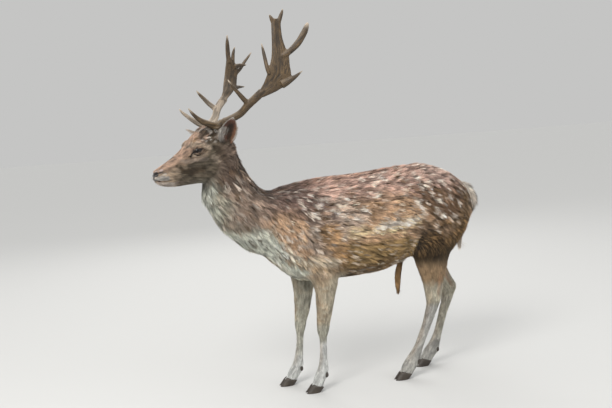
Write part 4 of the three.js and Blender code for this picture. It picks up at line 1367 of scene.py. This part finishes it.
def make_antler(name, spec):
    """One antler: its parts fused, with gutters along the beam and a pearled foot."""
    side = side_of(name)
    paths = [spec["beam"], spec["brow_tine"], spec["trez_tine"], *spec["points"].values()]
    shells = [horn(path, 28, 6) for path in paths]
    shells += [blade(spec["palm"], 40, 5), ellipsoid(BURR["at"], BURR["radii"], 36)]
    mesh = remeshed(shells, ANTLER_VOXEL)
    edges = edges_of(mesh)
    p = relaxed(points_of(mesh), edges, 0.5, 5)
    set_points(mesh, p)
    best = np.full(len(p), 1e9)
    fibre, pale, stem = np.zeros_like(p), np.zeros(len(p)), np.zeros(len(p))
    which = np.zeros(len(p))  # the part of the antler that each point belongs to
    palm = np.array(spec["palm"], float)
    palm_path = np.column_stack([(palm[:, :3] + palm[:, 3:6]) / 2, palm[:, 6] * 2.2])
    for k, path in enumerate([*paths, palm_path]):
        line, radii = np.array(path, float)[:, :3], np.array(path, float)[:, 3]
        far, share = to_line(p, line)
        at = shares(line)
        centre = np.stack([np.interp(share, at, line[:, i]) for i in range(3)], -1)
        far = far / np.interp(share, at, radii)
        near = far < best
        best = np.where(near, far, best)
        length = share * np.linalg.norm(np.diff(line, axis=0), axis=1).sum()
        off = p - centre
        along = np.array([0, 0, 0.02]) * length[:, None]
        fibre[near] = (off * 0.15 + along)[near]
        tip = smooth(share, 0.78, 1) if 0 < k < len(paths) else 0 * share
        pale[near] = tip[near]
        stem[near] = (smooth(share, 0.5, 0.1) if k == 0 else 0 * share)[near]
        which[near] = k
    n = normals_of(mesh)
    seam = np.zeros(len(p))
    seam[edges[which[edges[:, 0]] != which[edges[:, 1]]].ravel()] = 1
    seam = np.clip(3 * relaxed(seam, edges, 0.5, 8), 0, 1)
    ridges = relaxed(noise(fibre, 1, 41) - 0.5, edges, 0.5, 2) * (1 - seam)
    pearls = smooth(noise(p, 5.5, 43), 0.55, 0.8) * stem
    p = p + n * (1.7 * ridges * (1 - pale) + 2.2 * pearls - 0.6)[:, None]
    deep = smooth(-ridges, 0.02, 0.2) * (1 - pale)
    p = from_head(p * [1, side, 1])
    if side < 0:
        mesh.flip_normals()
    set_points(mesh, p)
    # paler on top as a painted highlight of the light from above, and the right antler's beam nearly white
    # low down; the "pale" attribute also carries the pale tips
    lit_top_and_pale_beam = 0.22 * smooth(n[:, 2], 0.2, 0.9)
    if name == "right":
        lit_top_and_pale_beam = np.maximum(lit_top_and_pale_beam, (0.5 + 0.4 * stem) * smooth(p[:, 2], 1310, 1250))
    paint(mesh, "pale", np.clip(np.maximum(0.75 * pale, lit_top_and_pale_beam), 0, 1))
    # darker in the gutters between the ridges, and darker on the underside as painted shade
    paint(mesh, "deep", np.clip(deep + 0.5 * smooth(n[:, 2], -0.2, -0.9), 0, 1))
    paint(mesh, "fibre", fibre)
    paint(mesh, "seam", seam)
    nodes = [f"antler_{name}_{k}" for k in ("beam", "palm", "brow_tine", "trez_tine", *spec["points"])]
    piece(f"antler_{name}", mesh, antler_material, nodes)


def hoof_shell(toe, y, side):
    """One claw. The toe and heel slope back alike and the inner side is nearly flat."""
    around, levels = 48, 22
    angle = 2 * np.pi * np.arange(around) / around
    c, s = np.cos(angle), side * np.sin(angle)
    t = (1 + rounded(c, 2.3)) / 2  # 0 at the toe and 1 at the heel
    share = np.linspace(0, 1, levels)[:, None]
    z = share * (HOOF["height"] + (HOOF["heel"] - HOOF["height"]) * t)
    wide = HOOF["width"] * np.where(s * side > 0, 0.72, 0.28) * (1 - 0.35 * np.maximum(0, -c) ** 3)
    ring = (1 + 0.02 * np.sin(share * 34) * share) * (1 - 0.16 * smooth(share, 0.84, 1))
    x = toe + HOOF["slope"] * z + HOOF["length"] * (0.5 + (t - 0.5) * ring)
    return loft(np.stack([x, y + rounded(s, 2.4) * wide * ring, z], -1))


DEWCLAW_SUNK = 10  # how far the dewclaws sit in the hair of the foot


def make_hooves():
    """Two claws and two dewclaws to a foot."""
    shells, nodes = [], []
    for name in LEGS:
        side = side_of(name)
        for place, out in (("outer", 1), ("inner", -1)):
            shells.append(hoof_shell(HOOF_TIPS[name], side * (FOOT_Y + out * HOOF["apart"] / 2),
                                     side * out))
            x, z = DEWCLAWS[name]
            at = [x - DEWCLAW_SUNK, FOOT_Y + out * 0.86 * DEWCLAWS["apart"] / 2, z]
            shells.append(ellipsoid(at, DEWCLAWS["radii"], 24, side))
            nodes += [f"hoof_{name}_{place}", f"dewclaw_{name}_{place}"]
    piece("hooves", new_mesh("hooves", *joined(shells)), hoof_look(), nodes)


def make_eye(name):
    """A dark ball with a level pupil, facing out through the lids."""
    side = side_of(name)
    p, tris = ellipsoid(EYE_AT, [EYE_RADIUS] * 3, 96, side)
    _, _, alpha, beta = eye_view(p, side)
    mesh = new_mesh(f"eye_{name}", from_head(p), tris)
    paint(mesh, "iris", smooth(np.hypot(alpha, beta), 46, 40))
    paint(mesh, "pupil", smooth(np.hypot(alpha / 24, beta / 11), 1.1, 0.9))
    piece(f"eye_{name}", mesh, eye_look(), [f"eye_{name}"])


def hair(root, way, length, thick, droop):
    """One stiff hair, bending down along its length."""
    share = np.array([-0.06, 0.3, 0.65, 1])[:, None]
    line = root + way * length * share + np.array([0, 0, -droop * length]) * share**2
    return horn(np.column_stack([line, thick * (1.06 - share)]), 5, 2)


# Rows of whiskers: how far back they reach, their height and how many there are.
WHISKER_ROWS = [(34, -20, 4), (40, -26, 5), (36, -32, 4), (40, -54, 4)]
LASHES = 30


def make_whiskers(skin):
    """The long hairs of the lips and chin, and the lashes of the upper lids."""
    p, n = points_of(skin), normals_of(skin)
    near = p[:, 0] < -400
    p, n = p[near], n[near]
    h = into_head(p)
    whiskers, lashes = [], []
    for side in (-1, 1):
        for rear, low, count in WHISKER_ROWS:
            for k in range(count):
                at = [-300 + k * rear / count, side * 40, low + 0.05 * k]
                off = (h - at) * [1, 0.3, 1]
                spot = np.argmin(dot(off, off))
                jitter = rng.normal(0, 0.14, 3)
                way = unit(n[spot] + turn_from_head(np.array([0.55, 0, -0.15])) + jitter)
                length = (14 + 12 * rng.random()) * (0.6 if low < -50 else 1)
                whiskers.append(hair(p[spot], way, length, 0.24, 0.25))
        r, opening, alpha, beta = eye_view(h, side)
        for angle in np.linspace(-46, 48, LASHES):
            off = np.hypot((alpha - angle) / 3, (opening - 1.14) * 30) + 99 * ((beta < 0) | (r > 26))
            spot = np.argmin(off)
            out = turn_from_head(np.array([-0.012 * angle - 0.1, side * 0.95, 0.1]))
            way = unit(out + 0.25 * n[spot])
            length = 10 - 0.06 * abs(angle) + rng.random()
            lashes.append(hair(p[spot], way, length, 0.3, 0.3))
    for name, shells in (("whiskers", whiskers), ("eyelashes", lashes)):
        piece(name, new_mesh(name, *joined(shells)), hair_material, [])


# ---- the coat ----
STRANDS = 455000
ROOT_DEPTH = 0.6
LOCK_SIZE, LOCK_STRETCH = 6.5, 0.72
PATCH = 0.0015  # half the width of a strand's patch in the chart
FLANK_FROM, FLANK_TO, LEG_COAT_TOP = 40, 400, 520  # where one piece of coat gives way to another
COAT_PIECES = ["neck_left", "neck_right", "shoulder_left", "shoulder_right", "flank_left",
               "flank_right", "haunch_left", "haunch_right", "head_left", "legs_front",
               "legs_hind", "tail", "head_right"]


def strands(mesh, total):
    """Root points spread over the skin, with their normals."""
    p, n, tris = points_of(mesh), normals_of(mesh), tris_of(mesh)
    a, b, c = p[tris].transpose(1, 0, 2)
    area = np.linalg.norm(np.cross(b - a, c - a), axis=1)
    middle = (a + b + c) / 3
    part = parts(middle)
    _, _, length = lie(middle, part)
    crowd = 1 / (0.35 + length / 26) ** 1.1
    crowd = np.where(part["leg"] * smooth(middle[:, 2], 520, 400) > 0.5, crowd * 0.75, crowd)
    crowd *= 1 - np.clip(wet_mask(part["head_at"]) * part["head"] * 2, 0, 1)
    mouth = to_line(halved(part["head_at"]), MOUTH_LINE)[0]
    crowd *= 1 - 0.9 * smooth(mouth, 3.4, 1.8) * part["head"]
    sum_up = np.cumsum(area * crowd)
    pick = np.searchsorted(sum_up, rng.random(total) * sum_up[-1])
    u, v = rng.random((2, total, 1))
    flip = u + v > 1
    u, v = np.where(flip, 1 - u, u), np.where(flip, 1 - v, v)
    corners = tris[pick]
    root = p[corners[:, 0]] * (1 - u - v) + p[corners[:, 1]] * u + p[corners[:, 2]] * v
    normal = unit(n[corners[:, 0]] * (1 - u - v) + n[corners[:, 1]] * u + n[corners[:, 2]] * v)
    return root, normal


def chart(p, part, kind):
    """Where roots are on an unwrap of the body, in millimetres along and around it."""
    x, y, z = p.T
    if kind.startswith("head"):
        h = part["head_at"]
        u = np.arctan2(h[:, 1], h[:, 2] - 20) * 70
        v = h[:, 0]
        ear = part["ear"] > 0.5
        u = np.where(ear, 300 * np.sign(h[:, 1]) + part["ear_local"][:, 0], u)
        v = np.where(ear, part["ear_share"] * 140 - 140
                     - 170 * (part["ear_local"][:, 1] > 0), v)
        return np.stack([u, v], -1)
    if kind.startswith("legs"):
        fore, out = part["leg_local"].T
        around = np.arctan2(out, fore) * 38
        return np.stack([around + 150 * np.sign(y), z], -1)
    if kind == "tail":
        sheath = part["sheath"] > 0.5
        u = np.where(sheath, 120 + np.arctan2(y, x - 410) * 15, np.arctan2(y, x - 740) * 26)
        return np.stack([u, z], -1)
    centre = np.interp(x, [-400, -150, 0, 300, 700], [900, 740, 690, 700, 760])
    around = np.arctan2(np.abs(y), z - centre) * 190
    return np.stack([x - 0.35 * smooth(x, -150, -300) * (z - 800), around], -1)


def body_share(part):
    """1 on the trunk and neck, where the coat is long and in locks, and 0 elsewhere."""
    share = (1 - part["head"]) * (1 - part["leg"]) * (1 - part["ear"]) * (1 - part["tail"])
    return share * (1 - part["sheath"])


def strand_points(root, n, part, lay, drawn, lock, chancy):
    """Five points for each strand: two at its root, two at its middle and its tip."""
    flow, depth, length = lay
    body = body_share(part)
    centre, (bright, lift, bend, _) = lock
    ragged = clumps(drawn, 16, 90)[1][0]
    toward = centre - drawn
    toward -= n * dot(toward, n)[:, None] + flow * dot(toward, flow)[:, None]
    side = np.cross(n, flow)
    # each clump leans its own way
    flow = unit(flow + side * (0.55 * (bend - 0.5) * (0.5 + body))[:, None]
                + side * (0.35 * (chancy[0] - 0.5))[:, None])
    long = length * (0.75 + 0.35 * bright + 0.3 * chancy[1])
    raised = body * smooth(ragged, 0.93, 0.97) * smooth(root[:, 2], 600, 700)
    crown = part["head"] * smooth(length, 14, 19)
    height = depth * (0.6 + 0.4 * lift + 0.3 * chancy[2] + 0.55 * raised + 1.6 * crown)
    pull = (0.25 + 0.5 * body)[:, None]
    tip = root + flow * long[:, None] + n * height[:, None] + toward * pull
    middle = root + flow * (0.48 * long)[:, None] + n * (0.68 * height)[:, None] + toward * pull * 0.4
    foot = root - n * ROOT_DEPTH
    roll = np.radians(70) * (chancy[3] - 0.5)
    side = unit(np.cross(n, flow) * np.cos(roll)[:, None] + n * np.sin(roll)[:, None])
    wide = np.clip(0.3 + length * 0.019, 0.38, 1.0) * (0.8 + 0.4 * chancy[4])
    across = side * wide[:, None]
    return np.stack([foot - across, foot + across, middle - across * 0.9, middle + across * 0.9,
                     tip], 1)


def strand_colours(colour, root, part, drawn, lock, chancy):
    """The markings, varied from lock to lock and from strand to strand, and darker at the root."""
    x, _, z = root.T
    body = body_share(part)
    bright, _, _, odd = lock[1]
    pale, dark = body * smooth(odd, 0.88, 0.92), body * smooth(odd, 0.1, 0.06)
    thigh = smooth(colour.mean(1), 0.09, 0.05)
    pale_tip = blend(np.tile(WHITE, (len(root), 1)), OCHRE, thigh)
    colour = blend(colour, pale_tip, 0.5 * pale)
    colour = blend(colour, UMBER * 0.6, 0.75 * dark)
    colour = blend(colour, pale_tip, 0.5 * body * thigh * (chancy[1] > 0.8))
    chest = smooth(x, -120, -220) * smooth(z, 840, 760)
    spread = 0.45 + 0.55 * body * (1 - 0.35 * chest)
    wave = 1.1 * (noise(drawn, 13, 77) - 0.5)
    tone = 2 ** (spread * (1.9 * (bright - 0.5) + 1.2 * (chancy[1] - 0.5) + wave) - 0.15)
    shade = np.array([0.42, 0.42, 0.9, 0.9, 1.22])
    shade = 1 + (shade - 1) * (0.5 + 0.5 * body[:, None])
    return np.clip(colour * tone[:, None], 0, 0.92)[:, None] * shade[..., None]


def coat_kinds(root, part):
    """Which of the coat pieces each strand belongs to."""
    x, y, z = root.T
    right = (y > 0).astype(int)

    def of(name, offset=0):
        return COAT_PIECES.index(name) + offset

    kinds = np.where(x < FLANK_FROM, of("shoulder_left"),
                     np.where(x < FLANK_TO, of("flank_left"), of("haunch_left"))) + right
    neck_right = (y > np.interp(x, [-440, -200], [-32, 0])).astype(int)
    kinds = np.where(part["neck"] > 0.5, of("neck_left", neck_right), kinds)
    kinds = np.where((part["leg"] > 0.5) & (z < LEG_COAT_TOP),
                     np.where(x > HIND_FROM, of("legs_hind"), of("legs_front")), kinds)
    kinds = np.where((part["tail"] > 0.5) | (part["sheath"] > 0.5), of("tail"), kinds)
    face = (part["head"] > 0.5) | (part["ear"] > 0.5)
    head_right = part["head_at"][:, 1] > 0
    return np.where(face, np.where(head_right, of("head_right"), of("head_left")), kinds)


def make_coat(skin, total):
    """The coat: strands in locks that follow its lie, in pieces with a chart of their roots."""
    root, n = strands(skin, total)
    part = parts(root)
    flow, depth, length = lie(root, part)
    flow = unit(flow - n * dot(flow, n)[:, None])
    # locks are long along the lie, so they are looked up in a space drawn in along it
    turn = np.radians(15 * np.round(np.degrees(np.arctan2(flow[:, 2], flow[:, 0])) / 15))
    combed = np.stack([np.cos(turn), 0 * turn, np.sin(turn)], -1)
    drawn = root - LOCK_STRETCH * dot(root, combed)[:, None] * combed
    lock = clumps(drawn, LOCK_SIZE, 60)
    chancy = rng.random((5, len(root)))
    points = strand_points(root, n, part, (flow, depth, length), drawn, lock, chancy)
    foot = root - n * ROOT_DEPTH
    colour = strand_colours(coat_colour(foot, part), root, part, drawn, lock, chancy)
    kinds = coat_kinds(root, part)
    material = coat_look()
    for k, kind in enumerate(COAT_PIECES):
        mine = kinds == k
        count = int(mine.sum())
        faces = np.array([[0, 1, 3], [0, 3, 2], [2, 3, 4]]) + 5 * np.arange(count)[:, None, None]
        mesh = new_mesh(f"coat_{kind}", points[mine].reshape(-1, 3), faces.reshape(-1, 3))
        paint(mesh, "coat", colour[mine].reshape(-1, 3))
        at = chart(foot[mine], {key: value[mine] for key, value in part.items()}, kind)
        low, high = at.min(0), at.max(0)
        at = 0.01 + (at - low) / (high - low).max() * 0.97
        patch = np.array([[-1, 0], [1, 0], [-1, 1], [1, 1], [0, 2]]) * PATCH
        uv = (at[:, None] + patch)[:, [0, 1, 3, 0, 3, 2, 2, 3, 4]]
        layer = mesh.uv_layers.new(name="OFBake")
        layer.data.foreach_set("uv", uv.astype(np.float32).ravel())
        piece(f"coat_{kind}", mesh, material, [])


# ---- the pieces ----
SKIN_TRIANGLES = 180000


def thinned(skin):
    """The skin with fewer triangles on the trunk, and as fine as before on the face and legs."""
    p = points_of(skin)
    loose = smooth(into_head(p)[:, 0], -60, 10) * smooth(p[:, 2], 300, 480)
    obj = link("fading", skin)
    group = obj.vertex_groups.new(name="loose")
    for level in range(1, 11):
        chosen = np.flatnonzero(np.round(loose * 10) == level)
        group.add(chosen.tolist(), level / 10, "REPLACE")
    thinner = obj.modifiers.new("thinner", "DECIMATE")
    thinner.ratio = SKIN_TRIANGLES / len(tris_of(skin))
    thinner.vertex_group = "loose"
    thinner.use_collapse_triangulate = True
    return evaluated(obj)


def finish_skin(skin):
    """The skin's markings, darkened off the head as painted shade under the coat, with wet parts and
    combed fibres; it replaces all nodes of flesh.
    """
    p = points_of(skin)
    part = parts(p)
    h = part["head_at"]
    # darkened away from the head: painted shade beneath the coat
    colour = coat_colour(p, part) * (1 - 0.3 * (1 - part["head"]))[:, None]
    paint(skin, "coat", np.clip(colour, 0, 1))
    paint(skin, "wet", wet_mask(h, noise(p, 9, 8) - 0.5) * part["head"])
    fibre = blend(p * [0.25, 1, 1], p * [1, 1, 0.14], part["leg"])
    fibre = blend(fibre, h * [0.16, 1, 1], np.round(part["head"]))
    paint(skin, "fibre", fibre * 0.9)
    flesh = ["trunk", "neck", "head", "lower_jaw", "nose_pad", "tail", "sheath", "ear_left",
             "ear_right"]
    flesh += [f"{length}_leg_{name}" for length in ("upper", "lower") for name in LEGS]
    piece("skin", skin, skin_look(), flesh)


antler_material = antler_look()
hair_material = look("stiff_hair", Roughness=0.5, Base_Color=rgba(BLACK * 0.7))[0]
for name, spec in ANTLERS.items():
    make_antler(name, spec)
    make_eye(name)
make_hooves()
whole_skin = make_skin()
make_whiskers(whole_skin)
make_coat(whole_skin, STRANDS)
finish_skin(thinned(whole_skin))


# ---- floor, light and camera ----
# Lamps in metres and watts: where each is, what it aims at, its width, power and colour.
LAMPS = {
    "key": [(-2.6, -3.4, 4.2), (0, 0, 0.7), 2.4, 190, (1, 0.98, 0.95)],
    "fill": [(3.6, -3.2, 2.2), (0, 0, 0.7), 3.5, 30, (0.95, 0.97, 1)],
    "back": [(0.5, 4.2, 3.6), (0, 0, 0.8), 3.5, 60, (1, 0.99, 0.97)],
}
SKY_POWER, SKY_WIDTH, WORLD_POWER = 1.3, 2.2, 0.62  # the sky's width is an angle in radians
FLOOR_REACH = 40  # metres from the middle to each edge
FLOOR_GREY, WORLD_GREY = (0.56, 0.56, 0.55, 1), (0.9, 0.9, 0.89, 1)
CAMERA_AT = np.array([-0.8806, -3.5319, 1.15])  # metres in the deer's frame
CAMERA_TURN, CAMERA_DIP, CAMERA_ROLL = np.radians([14, 5.44, 4])
LENS, SENSOR = 50, 36  # millimetres


def lamp(name, at, aim, size, power, colour):
    light = bpy.data.lights.new(name, "AREA")
    light.shape, light.size, light.energy, light.color = "DISK", size, power, colour
    obj = link(name, light)
    obj.location = at
    obj.rotation_mode = "QUATERNION"
    obj.rotation_quaternion = (Vector(aim) - Vector(at)).to_track_quat("-Z", "Y")


corners = np.array([[-1, -1, 0], [1, -1, 0], [1, 1, 0], [-1, 1, 0]]) * FLOOR_REACH
floor_mesh = new_mesh("floor", corners, np.array([[0, 1, 2, 3]]))
floor_material = bpy.data.materials.new("floor")
floor_material.use_nodes = True
floor_look = floor_material.node_tree.nodes["Principled BSDF"]
floor_look.inputs["Base Color"].default_value = FLOOR_GREY
floor_look.inputs["Roughness"].default_value = 0.9
floor_mesh.materials.append(floor_material)
link("floor", floor_mesh)

for name, settings in LAMPS.items():
    lamp(name, *settings)
sky = link("sky", bpy.data.lights.new("sky", "SUN"))
sky.data.energy, sky.data.angle = SKY_POWER, SKY_WIDTH
world = bpy.data.worlds.new("studio")
world.use_nodes = True
background = world.node_tree.nodes["Background"]
background.inputs["Color"].default_value = WORLD_GREY
background.inputs["Strength"].default_value = WORLD_POWER
bpy.context.scene.world = world

bpy.context.scene.view_settings.view_transform = "Standard"

camera = bpy.data.cameras.new("camera")
camera.lens, camera.sensor_width = LENS, SENSOR
turn, dip, roll = CAMERA_TURN, CAMERA_DIP, CAMERA_ROLL
ahead = np.array([np.sin(turn) * np.cos(dip), np.cos(turn) * np.cos(dip), -np.sin(dip)])
right = np.array([np.cos(turn), -np.sin(turn), 0])
up = np.cross(right, ahead)
right, up = right * np.cos(roll) - up * np.sin(roll), up * np.cos(roll) + right * np.sin(roll)
eye = link("camera", camera)
eye.matrix_world = Matrix(np.vstack([
    np.column_stack([right, up, -ahead, CAMERA_AT + SHIFT]),
    [0, 0, 0, 1]]).tolist())
bpy.context.scene.camera = eye
